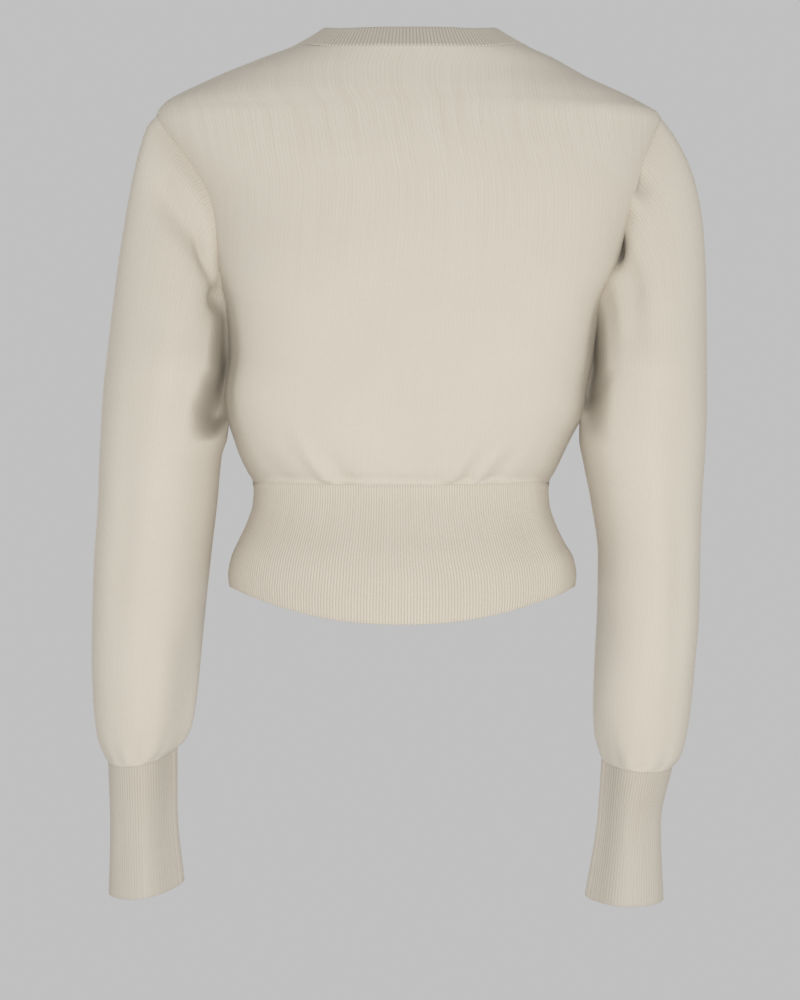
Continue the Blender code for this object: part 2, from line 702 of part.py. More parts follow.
def build():
    for old in list(bpy.data.objects):
        bpy.data.objects.remove(old, do_unlink=True)
    back_panel()
    front_panel("left_front", 1, LEFT_FRONT_EDGE)
    front_panel("right_front", -1, RIGHT_FRONT_EDGE)
    sleeve("left_sleeve", 1, LEFT_SLEEVE, LEFT_CAP, LEFT_SLEEVE_FOLDS)
    sleeve("right_sleeve", -1, RIGHT_SLEEVE, RIGHT_CAP, RIGHT_SLEEVE_FOLDS)
    cuff("left_cuff", 1, LEFT_CUFF)
    cuff("right_cuff", -1, RIGHT_CUFF)
    side_seam = SIDE_SEAM_CURVE
    waist_rib("back_rib", lambda h: -side_seam(h), side_seam)
    waist_rib("left_front_rib", side_seam, lambda h: front_turn(LEFT_FRONT_EDGE, h))
    waist_rib("right_front_rib", lambda h: -side_seam(h), lambda h: front_turn(RIGHT_FRONT_EDGE, h))
    neckband()
    placket("left_placket", LEFT_FRONT_EDGE - SEAM_GAP / 2, LEFT_FRONT_EDGE - PLACKET_WIDTH, lap_under)
    placket("right_placket", RIGHT_FRONT_EDGE + SEAM_GAP / 2, RIGHT_FRONT_EDGE + PLACKET_WIDTH, lambda _: 0.0)
    for index in range(BUTTON_COUNT):
        button(index + 1, BUTTON_TOP + (BUTTON_FOOT - BUTTON_TOP) * index / (BUTTON_COUNT - 1))


build()
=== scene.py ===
import math

import bmesh
import bpy
import numpy as np
from mathutils import Matrix, Vector


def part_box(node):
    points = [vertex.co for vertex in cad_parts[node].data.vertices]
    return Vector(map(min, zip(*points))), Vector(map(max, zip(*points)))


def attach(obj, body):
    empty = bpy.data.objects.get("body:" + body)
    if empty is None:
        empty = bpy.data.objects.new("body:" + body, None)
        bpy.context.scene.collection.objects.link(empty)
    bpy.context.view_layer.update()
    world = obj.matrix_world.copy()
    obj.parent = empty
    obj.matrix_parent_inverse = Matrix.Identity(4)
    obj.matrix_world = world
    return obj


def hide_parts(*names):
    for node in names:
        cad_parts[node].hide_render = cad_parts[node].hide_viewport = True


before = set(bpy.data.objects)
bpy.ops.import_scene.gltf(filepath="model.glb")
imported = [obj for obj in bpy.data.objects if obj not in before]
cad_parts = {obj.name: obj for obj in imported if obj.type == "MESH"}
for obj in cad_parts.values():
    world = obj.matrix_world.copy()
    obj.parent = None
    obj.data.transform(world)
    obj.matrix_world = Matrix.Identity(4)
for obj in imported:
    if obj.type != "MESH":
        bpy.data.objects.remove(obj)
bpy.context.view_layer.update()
metre = 0.001  # metres in a millimetre
print("frame loaded")


def smoothCurve(keys, values):
    # a curve through the values, which never swings past them
    order = np.argsort(np.array(keys, float))
    keys = np.array(keys, float)[order]
    values = np.array(values, float)[order]
    spans = np.diff(keys).reshape((-1,) + (1,) * (values.ndim - 1))
    rises = np.diff(values, axis=0) / spans
    product, total = rises[:-1] * rises[1:], rises[:-1] + rises[1:]
    middle = np.where(product > 0, 2 * product / np.where(product > 0, total, 1), 0)
    slopes = np.concatenate([rises[:1], middle, rises[-1:]])

    def at(place):
        place = np.asarray(place, float)
        i = np.clip(np.searchsorted(keys, place) - 1, 0, len(keys) - 2)
        span = keys[i + 1] - keys[i]
        t = np.clip((place - keys[i]) / span, 0, 1)
        grow = (slice(None),) * t.ndim + (None,) * (values.ndim - 1)
        t, span = t[grow], span[grow]
        bend = t * t * (3 - 2 * t)
        held = values[i] * (1 - bend) + values[i + 1] * bend
        return held + span * t * (1 - t) * (slopes[i] * (1 - t) - slopes[i + 1] * t)

    return at


def columnsOf(rows):
    # one smooth curve for each column of a table, along its first column
    table = np.array(rows, float)
    return [smoothCurve(table[:, 0], table[:, k]) for k in range(1, table.shape[1])]


def signedPower(value, power):
    return np.sign(value) * np.abs(value) ** power


def smoothStep(value):
    value = np.clip(value, 0, 1)
    return value * value * (3 - 2 * value)


bodyShape = {
    # height, half width, centre, back, front, squareness, lift of the sides above the centre back
    "rings": [
        (-495, 147, 5, 99, 113, 2.2, 36), (-475, 148.5, 5, 100, 112.5, 2.2, 29),
        (-455, 146, 5, 99, 112, 2.2, 23), (-435, 139, 6, 95, 109, 2.2, 17),
        (-415, 131.5, 6, 88, 105, 2.25, 13), (-395, 126.5, 6, 82, 101, 2.25, 9),
        (-380, 125.5, 6, 79, 98, 2.3, 7), (-370, 127, 6, 79, 98, 2.3, 6),
        (-362, 131, 6, 84, 102, 2.3, 5), (-350, 136.5, 6, 88, 109, 2.3, 4),
        (-330, 144, 5, 92, 115, 2.3, 2), (-310, 151.5, 3, 95, 120, 2.3, 1),
        (-290, 154, 2, 97, 124, 2.3, 0), (-260, 155, -3, 100, 129, 2.3, 0),
        (-222, 160, -5, 103, 129, 2.35, 0), (-180, 176, -9, 104, 122, 2.45, 0),
        (-125, 190, -12, 100.5, 108, 2.48, 0), (-90, 203, -7, 96, 92, 2.4, 0),
        (-62, 215.5, -2, 90, 74, 2.3, 0), (-54, 218, -1, 88, 70, 2.24, 0),
        (-48, 216.5, 0, 86.3, 67, 2.2, 0), (-43, 211, 3, 84.8, 65, 2.17, 0),
        (-37, 202.5, 5, 83, 63, 2.15, 0), (-20, 167, 6, 77, 58, 2.15, 0),
        (-1, 126, 0, 70.5, 54, 2.2, 0), (7, 106, -2, 68, 52, 2.2, 0), (16, 90, -3, 64.5, 48, 2.2, 0),
    ],
    # the back half is squarer between the waist and the armholes: height, squareness
    "backSquareness": [(-495, 2.2), (-415, 2.25), (-372, 2.5), (-335, 3.1), (-290, 3.4), (-215, 3.3),
                       (-170, 2.75), (-120, 2.5), (-90, 2.4), (-54, 2.24), (-20, 2.15), (16, 2.2)],
    # soft ridges and hollows: turn, height, reach up and down, width in degrees, depth
    "swells": [
        (-60, -445, 62, 9, 4.5), (60, -450, 60, 12, 1.5), (-74, -215, 60, 8, -3.0),
        (-52, -170, 70, 14, 1.6), (30, -140, 60, 22, 1.2), (0, -130, 70, 10, -1.2), (72, -265, 70, 8, -2.5),
    ],
    "sidePlane": -12,  # the body is widest this far to the front
    "frontDrop": 0.3,  # of a ring's lift that its centre front loses again
    "linkingLine": -373,
    "hem": -491,
    "underarm": -222,
    "shoulderTip": -48,
    "sideSeam": [(-495, 70), (-373, 71), (-290, 76), (-222, 81)],  # height, turn
    "shoulderSeam": 82,  # turn
    "armholeBows": (-13, 31),  # into the back and the front, in degrees
    "underarmBluntness": (1.4, 0.6),
    "tipBluntness": (0.6, 0.5),
    "tipGuide": -84,
    "frontTop": -62,
    "neckDrop": 95,
    "neckHalfWidth": 100,
    "neckPoint": 10,  # height of the neck seam on the shoulders
    "leftFrontEdge": 20,
    "rightFrontEdge": -16,
}
ringCurves = columnsOf(bodyShape["rings"])
sideSeamCurve = smoothCurve(*zip(*bodyShape["sideSeam"]))
backSquareness = smoothCurve(*zip(*bodyShape["backSquareness"]))


def folds(shapes, turn, height):
    # soft ridges and hollows, each round its own middle
    relief = np.zeros(np.broadcast(turn, height).shape)
    for place, middle, reach, width, depth in shapes:
        aside = (np.mod(turn - place + 180, 360) - 180) / width
        relief = relief + depth * np.exp(-aside * aside - ((height - middle) / reach) ** 2)
    return relief


def centreOf(turn, height):
    # across the body, the middle of a ring: in front it stays in one place above the shoulders' tips
    centre = ringCurves[1](height)
    share = smoothStep((np.abs(np.mod(turn + 180, 360) - 180) - 90) / 40)
    return centre + (ringCurves[1](np.minimum(height, bodyShape["frontTop"])) - centre) * share


def bodyPoint(turn, height):
    # a point on the outside of the body
    turn, height = np.broadcast_arrays(np.asarray(turn, float), np.asarray(height, float))
    halfWidth, _, back, front, squareness, lift = (curve(height) for curve in ringCurves)
    angle = np.radians(turn)
    power = 2 / np.where(np.cos(angle) > 0, backSquareness(height), squareness)
    depth = signedPower(np.cos(angle), power)
    drop = np.cos(angle) ** 2 * np.where(depth > 0, 1, bodyShape["frontDrop"])
    plane = bodyShape["sidePlane"]
    swell = folds(bodyShape["swells"], turn, height)
    return np.stack([
        centreOf(turn, height) + halfWidth * signedPower(np.sin(angle), power) + swell * np.sin(angle),
        plane + depth * np.where(depth > 0, back - plane, front + plane) + swell * np.cos(angle),
        height + lift * (1 - drop),
    ], -1)


def normalsOf(points, closed=False):
    # directions across a net of points: its rows climb and its columns go round
    if closed:
        around = np.roll(points, -1, 1) - np.roll(points, 1, 1)
    else:
        around = np.gradient(points, axis=1)
    normals = np.cross(around, np.gradient(points, axis=0))
    return normals / np.maximum(np.linalg.norm(normals, axis=-1, keepdims=True), 1e-9)


def evenTurns(rowPoint, first, last, shares, samples=900):
    # turns of a row at shares of its length, and the length
    turns = np.linspace(first, last, samples + 1)
    reach = np.concatenate([[0], np.cumsum(np.linalg.norm(np.diff(rowPoint(turns), axis=0), axis=1))])
    return np.interp(np.array(shares) * reach[-1], reach, turns), reach[-1]


def warped(step, power):
    # steps from 0 to 1, closer together near the middle
    aside = 2 * step - 1
    return (1 + signedPower(aside, power)) / 2


def spread(rowPoint, first, last, share, samples=72, power=1):
    # the same for a whole net, where every point has a row of its own
    first, last, share = np.broadcast_arrays(first, last, share)
    steps = np.linspace(0, 1, samples + 1)
    turns = first[..., None] + (last - first)[..., None] * warped(steps, power)
    lengths = np.linalg.norm(np.diff(rowPoint(turns), axis=-2), axis=-1)
    reach = np.concatenate([np.zeros(first.shape + (1,)), np.cumsum(lengths, -1)], -1)
    target = share * reach[..., -1]
    spot = np.clip((reach[..., 1:] < target[..., None]).sum(-1), 0, samples - 1)[..., None]
    below = np.take_along_axis(reach, spot, -1)[..., 0]
    above = np.take_along_axis(reach, spot + 1, -1)[..., 0]
    part = (target - below) / np.maximum(above - below, 1e-9)
    return first + (last - first) * warped((spot[..., 0] + part) / samples, power)


def frontTurn(across, height):
    # the turn of a point of the front that lies a distance across the body
    share = (across - centreOf(180, height)) / ringCurves[0](height)
    lean = np.degrees(np.arcsin(np.abs(share) ** (ringCurves[4](height) / 2)))
    return np.copysign(180 - lean, share)


def neckSeamHeight(turn):
    # where a half ellipse across the front meets a turn of the body
    point, drop = bodyShape["neckPoint"], bodyShape["neckDrop"]
    low = np.full(np.shape(turn), -drop, float)
    high = np.full(np.shape(turn), point, float)
    for _ in range(30):
        height = (low + high) / 2
        across = bodyPoint(turn, height)[..., 0] - centreOf(turn, height)
        wide = across / bodyShape["neckHalfWidth"]
        outside = wide**2 + ((height - point) / (drop + point)) ** 2 > 1
        low, high = np.where(outside, height, low), np.where(outside, high, height)
    return (low + high) / 2


neckTurns = np.arange(94, 181, 1.0)
neckSeamCurve = smoothCurve([0, 25, 55, 80, 88, *neckTurns],
                            [0, 0.5, 6, 9.6, bodyShape["neckPoint"], *neckSeamHeight(neckTurns)])


def fromBack(turn):
    # the same turn on the wearer's left side
    return 180 - np.abs(180 - np.abs(turn))


def neckline(turn):
    return neckSeamCurve(fromBack(turn))


def neckSeam(turn):
    return bodyPoint(turn, neckline(turn))


def edgeTurn(height, panel):
    # the turn of the back's (0) or front's (1) side: side seam, then armhole, then shoulder seam
    height = np.asarray(height, float)
    low, high = bodyShape["underarm"], bodyShape["shoulderTip"]
    share = np.clip((height - low) / (high - low), 0, 1)
    start = sideSeamCurve(low) + (bodyShape["shoulderSeam"] - sideSeamCurve(low)) * share
    under, tip = bodyShape["underarmBluntness"][panel], bodyShape["tipBluntness"][panel]
    bow = bodyShape["armholeBows"][panel] * np.abs(np.sin(np.pi * share)) ** (under + (tip - under) * share)
    return np.where(height <= low, sideSeamCurve(height), start + bow)


def backEdge(height):
    return edgeTurn(height, 0)


def frontEdge(height):
    return edgeTurn(height, 1)


def frontGuide(height):
    # the front's edge at the armhole, without its quick turn to the tip of the shoulder
    start = bodyShape["tipGuide"]
    low = frontEdge(start)
    climb = (height - start) / (neckline(bodyShape["shoulderSeam"]) - start)
    return np.where(height <= start, frontEdge(height), low + (bodyShape["shoulderSeam"] - low) * climb)


def gathers(shapes, turn, rise):
    # folds that start at a seam and die away above it: turn, lean, length, width, depth
    relief = np.zeros(np.broadcast(turn, rise).shape)
    for place, lean, length, width, depth in shapes:
        share = rise / length
        aside = (np.mod(turn - place - lean * share + 180, 360) - 180) / width
        fade = np.clip(1 - share, 0, 1) ** 1.5 * np.clip(rise / 4, 0, 1)
        relief = relief + depth * np.exp(-aside * aside) * fade
    return relief


cloth = {
    "jersey": 1.5,  # wall of the plain knit
    "ribGround": 1.3,  # wall of the rib knit at the bottom of a groove
    "ribRise": 0.62,
    "ribRoundness": 0.75,  # the lower, the flatter a rib's top
    "ribFarSide": 0.6,  # of the rise, on the skin behind the net
    "seamGap": 0.04,  # each side of a seam
    "sideGap": 0.06,  # degrees that a panel stops short of a side, shoulder or front seam
    "ribSideGap": 0.04,
    "sewn": 0.2,  # how far in from a rim the cloth is rounded off, where it is sewn on
    "sewnShare": 0.97,  # of its thickness, which the cloth keeps at a seam
    "free": 0.75,  # how far in it is rounded off at an open edge, where it keeps none
}


def edged(count, length, rolls):
    # shares from 0 to 1, with a few more close to the rims for their rounding
    steps = np.array([0, 0.1, 0.35, 0.8])
    near, far = steps * rolls[0] / length, 1 - steps[::-1] * rolls[1] / length
    return np.concatenate([near, np.linspace(near[-1], far[0], count - 6)[1:-1], far])


def rimShare(shares, length, rolls):
    # how much of its thickness the cloth has at each share
    low = 1 - np.clip(shares * length / rolls[0], 0, 1)
    high = 1 - np.clip((1 - shares) * length / rolls[1], 0, 1)
    rounding = np.sqrt(1 - np.maximum(low, high) ** 2)
    kept = np.where(np.where(low > high, *rolls) == cloth["sewn"], cloth["sewnShare"], 0)
    return kept + (1 - kept) * rounding


def rimOf(rows, length, columns, width, rolls):
    # the same for a net that has a rim on all four sides
    return np.minimum(rimShare(rows, length, rolls)[:, None], rimShare(columns, width, rolls)[None])


def wallOf(points, ahead, behind, thickness, closed=False, unfolded=None):
    # the two skins of a cloth, each so far from its net, along the normals of its unfolded form. They
    # point into the body, and out of a sleeve, a cuff or a button band. `thickness` is 1 away from a rim
    normals = normalsOf(points if unfolded is None else unfolded, closed)
    middle = (ahead - behind) / 2
    half = (ahead + behind) / 2 * thickness
    skins = [points + normals * (middle + way * half)[..., None] for way in (1, -1)]
    if closed:
        skins = [np.concatenate([skin, skin[:, :1]], 1) for skin in skins]
    return skins


def meshOf(bm, name):
    mesh = bpy.data.meshes.new(name)
    bm.to_mesh(mesh)
    bm.free()
    return mesh


def knitPiece(name, skins, across, along, finish, closed=False, marks=None):
    # a grid, extruded to a slab and bent to the two skins, with its knit's own map
    first, second = skins
    rows, columns = first.shape[:2]
    across, along = (np.broadcast_to(part, (rows, columns)) for part in (across, along))
    bm = bmesh.new()
    bmesh.ops.create_grid(bm, x_segments=columns - 1, y_segments=rows - 1, size=0.5)
    raised = bmesh.ops.extrude_face_region(bm, geom=bm.faces[:])["geom"]
    lifted = [part for part in raised if isinstance(part, bmesh.types.BMVert)]
    bmesh.ops.translate(bm, vec=(0, 0, 1), verts=lifted)
    if closed:
        ends = [f for f in bm.faces if all(abs(abs(v.co.x) - 0.5) < 1e-4 for v in f.verts)]
        bmesh.ops.delete(bm, geom=ends, context="FACES_ONLY")
    mesh = meshOf(bm, name)
    places = np.zeros(len(mesh.vertices) * 3, np.float32)
    mesh.vertices.foreach_get("co", places)
    places = places.reshape(-1, 3)
    i = np.rint((places[:, 0] + 0.5) * (columns - 1)).astype(int)
    j = np.rint((places[:, 1] + 0.5) * (rows - 1)).astype(int)
    bent = np.where(places[:, 2:] > 0.5, first[j, i], second[j, i]) * metre
    mesh.vertices.foreach_set("co", bent.astype(np.float32).ravel())
    corners = np.zeros(len(mesh.loops), np.int32)
    mesh.loops.foreach_get("vertex_index", corners)
    knitMap = np.stack([across[j, i], along[j, i]], -1)[corners]
    mesh.uv_layers.new(name="knit").uv.foreach_set("vector", knitMap.astype(np.float32).ravel())
    if marks is not None:
        markMap = np.stack([marks[0][j, i], marks[1][j, i]], -1)[corners]
        mesh.uv_layers.new(name="marks").uv.foreach_set("vector", markMap.astype(np.float32).ravel())
    bm = bmesh.new()
    bm.from_mesh(mesh)
    bmesh.ops.remove_doubles(bm, verts=bm.verts[:], dist=1e-6)
    bmesh.ops.recalc_face_normals(bm, faces=bm.faces[:])
    if bm.calc_volume(signed=True) < 0:
        bmesh.ops.reverse_faces(bm, faces=bm.faces[:])
    bm.to_mesh(mesh)
    bm.free()
    mesh.shade_smooth()
    return dressed(name, mesh, finish)


def dressed(name, mesh, finish):
    mesh.materials.append(finish)
    made = bpy.data.objects.new(name, mesh)
    bpy.context.scene.collection.objects.link(made)
    return made


def worn(piece, node):
    # the piece moves with the garment and stands for its solid
    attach(piece, "root")
    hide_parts(node)


class Wire:
    # a socket that takes part in sums
    def __init__(self, shade, socket):
        self.shade, self.socket = shade, socket

    def sum(self, operation, *terms):
        return self.shade.node("ShaderNodeMath", {"operation": operation}, dict(enumerate(terms)))

    def __add__(self, other):
        return self.sum("ADD", self, other)

    __radd__ = __add__

    def __sub__(self, other):
        return self.sum("SUBTRACT", self, other)

    def __rsub__(self, other):
        return self.sum("SUBTRACT", other, self)

    def __mul__(self, other):
        return self.sum("MULTIPLY", self, other)

    __rmul__ = __mul__

    def __truediv__(self, other):
        return self.sum("DIVIDE", self, other)

    def __pow__(self, power):
        return self.sum("POWER", self, power)

    def __abs__(self):
        return self.sum("ABSOLUTE", self)

    def fraction(self):
        return self.sum("FRACT", self)

    def cosine(self):
        return self.sum("COSINE", self)


class Shade:
    # a material and the nodes that make its finish
    def __init__(self, name, roughness):
        self.material = bpy.data.materials.new(name)
        self.material.use_nodes = True
        self.tree = self.material.node_tree
        self.shader = self.tree.nodes["Principled BSDF"]
        self.shader.inputs["Roughness"].default_value = roughness
        self.shader.inputs["Specular IOR Level"].default_value = 0.25

    def node(self, kind, settings, values, output=0):
        made = self.tree.nodes.new(kind)
        for setting, value in settings.items():
            setattr(made, setting, value)
        for socket, value in values.items():
            if isinstance(value, Wire):
                self.tree.links.new(value.socket, made.inputs[socket])
            else:
                made.inputs[socket].default_value = value
        return Wire(self, made.outputs[output])

    def map(self, name):
        return self.node("ShaderNodeUVMap", {"uv_map": name}, {})

    def place(self):
        return self.node("ShaderNodeTexCoord", {}, {}, 3)

    def axis(self, place, number):
        return self.node("ShaderNodeSeparateXYZ", {}, {0: place}, number)

    def mix(self, factor, first, second):
        first, second = ((*c, 1) if isinstance(c, tuple) else c for c in (first, second))
        return self.node("ShaderNodeMix", {"data_type": "RGBA"}, {0: factor, 6: first, 7: second}, 2)

    def noise(self, place, scale, detail=2.0, roughness=0.5):
        values = {"Vector": place, "Scale": scale, "Detail": detail, "Roughness": roughness}
        return self.node("ShaderNodeTexNoise", {}, values)

    def stretched(self, place, scale):
        return self.node("ShaderNodeMapping", {}, {"Vector": place, "Scale": scale})

    def eased(self, value, start, end, first, last):
        # a smooth change from `first` to `last` as the value goes from `start` to `end`
        if start > end:
            start, end, first, last = end, start, last, first
        values = {"Value": value, "From Min": start, "From Max": end, "To Min": first, "To Max": last}
        return self.node("ShaderNodeMapRange", {"interpolation_type": "SMOOTHSTEP"}, values)

    def finish(self, colour, height=None, distance=0.0004, strength=0.5):
        self.tree.links.new(colour.socket, self.shader.inputs["Base Color"])
        if height is not None:
            values = {"Height": height, "Strength": strength, "Distance": distance}
            bump = self.node("ShaderNodeBump", {}, values)
            self.tree.links.new(bump.socket, self.shader.inputs["Normal"])
        return self.material


knit = {
    "light": (0.745, 0.695, 0.615),
    "deep": (0.66, 0.605, 0.52),
    # painted shade: the darker colour put into the gaps between stitches and ribs, into the narrowing marks
    # and between the linking loops
    "groove": (0.50, 0.435, 0.34),
    "walePitch": 0.00165,
    "coursePitch": 0.00125,
    "markPitch": 0.0052,  # the narrowing marks beside the shoulder seams
    "markPlace": 0.0088,
    "linkPlace": 0.0014,  # the row of linking stitches beside a rib's sewn edge
    # how dark the painted shade between the linking loops is
    "linkPaintedShade": 0.15,
}


def jerseyFinish(name, lineShare, marked=False):
    # plain knit: columns of small V stitches, with needle lines that show most near the shoulders
    shade = Shade(name, roughness=0.92)
    uv = shade.map("knit")
    along = shade.axis(uv, 1)
    wale = shade.axis(uv, 0) / knit["walePitch"]
    course = along / knit["coursePitch"]
    aside = abs(wale.fraction() - 0.5)
    legs = ((course - aside * 1.3) * (2 * math.pi)).cosine()
    ridge = 1 - (aside * 2) ** 2.5
    stitch = ridge * (legs * 0.22 + 0.78)
    pull = shade.eased(along, -0.27, -0.05, 0.4, 3.2) * lineShare
    needle = shade.noise(shade.stretched(uv, (430, 9, 1)), 1, detail=1.5)
    patchy = shade.noise(uv, 45, detail=1)
    lines = (wale * math.pi).cosine() * patchy
    cloud = shade.noise(uv, 16, detail=3)
    fuzz = shade.noise(uv, 900, detail=2)
    tone = ((needle - 0.5) * 0.42 + lines * 0.13) * pull + (cloud - 0.5) * 0.45 + (fuzz - 0.5) * 0.35 + 0.42
    yarn = shade.mix(tone, knit["light"], knit["deep"])
    # painted shade in the gaps round each stitch
    colour = shade.mix((1 - stitch) * 0.3, yarn, knit["groove"])
    height = stitch + needle * 0.35 + lines * 0.08 + fuzz * 0.25
    if marked:
        # pairs of slightly larger stitches where the panel was narrowed, sunk in and darkened with painted
        # shade
        place = shade.map("marks")
        step = shade.axis(place, 0) / knit["markPitch"]
        off = shade.axis(place, 1) - knit["markPlace"]
        near = shade.eased(abs(off), 0.0006, 0.0019, 1, 0)
        mark = near * shade.eased(abs(step.fraction() - 0.5), 0.1, 0.3, 1, 0)
        colour = shade.mix(mark * 0.8, colour, knit["groove"])
        height = height - mark * 1.2
    return shade.finish(colour, height, distance=0.00035, strength=0.55)


def ribFinish(name, paintedGrooveShade, growth, reach, light=knit["light"], deep=knit["deep"]):
    # rib knit: the map counts the ribs, and then gives the distance from the sewn edge
    shade = Shade(name, roughness=0.92)
    uv = shade.map("knit")
    rib = shade.axis(uv, 0)
    down = shade.axis(uv, 1)
    aside = abs(rib.fraction() - 0.5)
    legs = ((down / knit["coursePitch"] - aside * 1.6) * (2 * math.pi)).cosine()
    hollow = (aside * 2) ** 3
    depth = shade.eased(down, *reach, paintedGrooveShade, paintedGrooveShade * growth)
    single = shade.noise(shade.stretched(uv, (1.7, 14, 1)), 1, detail=1.5)
    cloud = shade.noise(shade.stretched(uv, (0.045, 16, 1)), 1, detail=3)
    fuzz = shade.noise(shade.stretched(uv, (2.3, 900, 1)), 1, detail=2)
    tone = (single - 0.5) * 0.7 + (cloud - 0.5) * 0.5 + (fuzz - 0.5) * 0.4 + 0.45
    # painted shade in the grooves between ribs, stronger or weaker with the distance from the sewn edge
    colour = shade.mix(hollow * depth, shade.mix(tone, light, deep), knit["groove"])
    link = shade.eased(abs(down - knit["linkPlace"]), 0.0004, 0.0013, 1, 0)
    loop = link * ((rib * (2 * math.pi)).cosine() * 0.5 + 0.5)
    # painted shade between the loops of the linking row
    colour = shade.mix(loop * knit["linkPaintedShade"], colour, knit["groove"])
    height = (1 - hollow) * (legs * 0.3 + 0.7) + fuzz * 0.25 - loop * 0.5
    return shade.finish(colour, height, distance=0.00035, strength=0.5)


jersey = jerseyFinish("jersey_knit", 0.35)
markedJersey = jerseyFinish("marked_jersey_knit", 0.75, marked=True)
rib = ribFinish("rib_knit", 0.62, 1.3, (0.02, 0.11), (0.72, 0.67, 0.585), (0.64, 0.585, 0.495))
# the cuffs' rib is a darker copy of the waist rib: painted shade for the cuffs, which hang lowest and get
# less light
shadedCuffRib = ribFinish("shaded_cuff_rib_knit", 0.75, 0.3, (0.015, 0.06), (0.63, 0.585, 0.515), (0.56, 0.51, 0.435))
neckRib = ribFinish("neck_rib_knit", 0.95, 1, (0, 0.03))
print("finishes ready")


back = {
    "columns": 190,
    "rows": 190,
    "crowding": 1.6,  # of the net's trial steps towards the middle, where a turn moves a point the most
    "gathers": [
        (23, 7, 62, 4.0, -4.6), (16, 6, 58, 4.5, 3.2), (-14, -3, 66, 3.6, -4.2), (-19.5, -4, 46, 3.4, 2.6),
        (-24, -5, 42, 3.2, -3.0), (-32, -6, 52, 5.0, 2.6), (46, 6, 40, 7.0, 1.8), (3, 1, 40, 6.0, 1.2),
    ],
    "width": 300,  # about, for the rounding of its sides
    "marksAbove": -110,  # the narrowing marks start at this height
    "flat": (0.40, 0.385),
    "flatArea": 0.137,
}


def seamMap(points):
    # how far along the nearer shoulder seam a point lies, and how far from it, in metres
    heights = np.linspace(bodyShape["shoulderTip"], bodyShape["neckPoint"], 120)
    reach, away = np.zeros(points.shape[:2]), np.full(points.shape[:2], 1e3)
    for side in (-1, 1):
        seam = bodyPoint(side * bodyShape["shoulderSeam"], heights)
        length = np.concatenate([[0], np.cumsum(np.linalg.norm(np.diff(seam, axis=0), axis=1))])
        high = np.argmax(points[:, points.shape[1] // 2, 2] > back["marksAbove"])
        gaps = np.linalg.norm(points[high:, :, None] - seam, axis=-1)
        nearest = gaps.argmin(-1)
        closer = gaps.min(-1) < away[high:]
        reach[high:] = np.where(closer, length[nearest], reach[high:])
        away[high:] = np.minimum(gaps.min(-1), away[high:])
    return reach * metre, away * metre


def makeBack():
    bottom = bodyShape["linkingLine"] + cloth["seamGap"]
    sewn = (cloth["sewn"], cloth["sewn"])
    rows = edged(back["rows"], -bottom, sewn)
    columns = edged(back["columns"], back["width"], sewn)
    edge = bodyShape["shoulderSeam"] - cloth["sideGap"]
    top = neckline(evenTurns(neckSeam, -edge, edge, columns)[0])
    levels = bottom + (top - cloth["seamGap"] - bottom)[None] * rows[:, None]
    side = backEdge(levels) - cloth["sideGap"]
    turns = spread(lambda turn: bodyPoint(turn, levels[..., None]), -side, side, columns[None],
                   power=back["crowding"])
    points = bodyPoint(turns, levels)
    relief = gathers(back["gathers"], turns, levels - bottom)
    unfolded = points
    points = points + normalsOf(points) * relief[..., None]
    rim = rimOf(rows, -bottom, columns, back["width"], sewn)
    skins = wallOf(points, 0.0, cloth["jersey"], rim, unfolded=unfolded)
    lengths = np.linalg.norm(np.diff(points, axis=1), axis=-1).sum(1)
    across = (columns - 0.5)[None] * lengths[:, None] * metre
    piece = knitPiece("back_panel", skins, across, levels * metre, markedJersey, marks=seamMap(points))
    worn(piece, "back")


makeBack()
print("back made")


fronts = {
    "columns": 110,
    "rows": 170,
    "tipReach": 10,  # the higher, the fewer columns follow the edge to the tip of the shoulder
    "gathers": [
        (108, -4, 52, 6.0, -2.6), (122, 3, 46, 5.0, 2.0), (142, 3, 58, 5.0, -3.0), (150, 2, 46, 5.0, 1.8),
        (-112, 5, 55, 6.0, -2.8), (-124, 3, 44, 5.0, 2.0), (-146, -3, 50, 5.0, -2.6),
    ],
    "length": 380,  # length and width are about right, for the rounding of its rims
    "width": 190,
    "flat": (0.23, 0.39),
    "flatArea": 0.066,
}


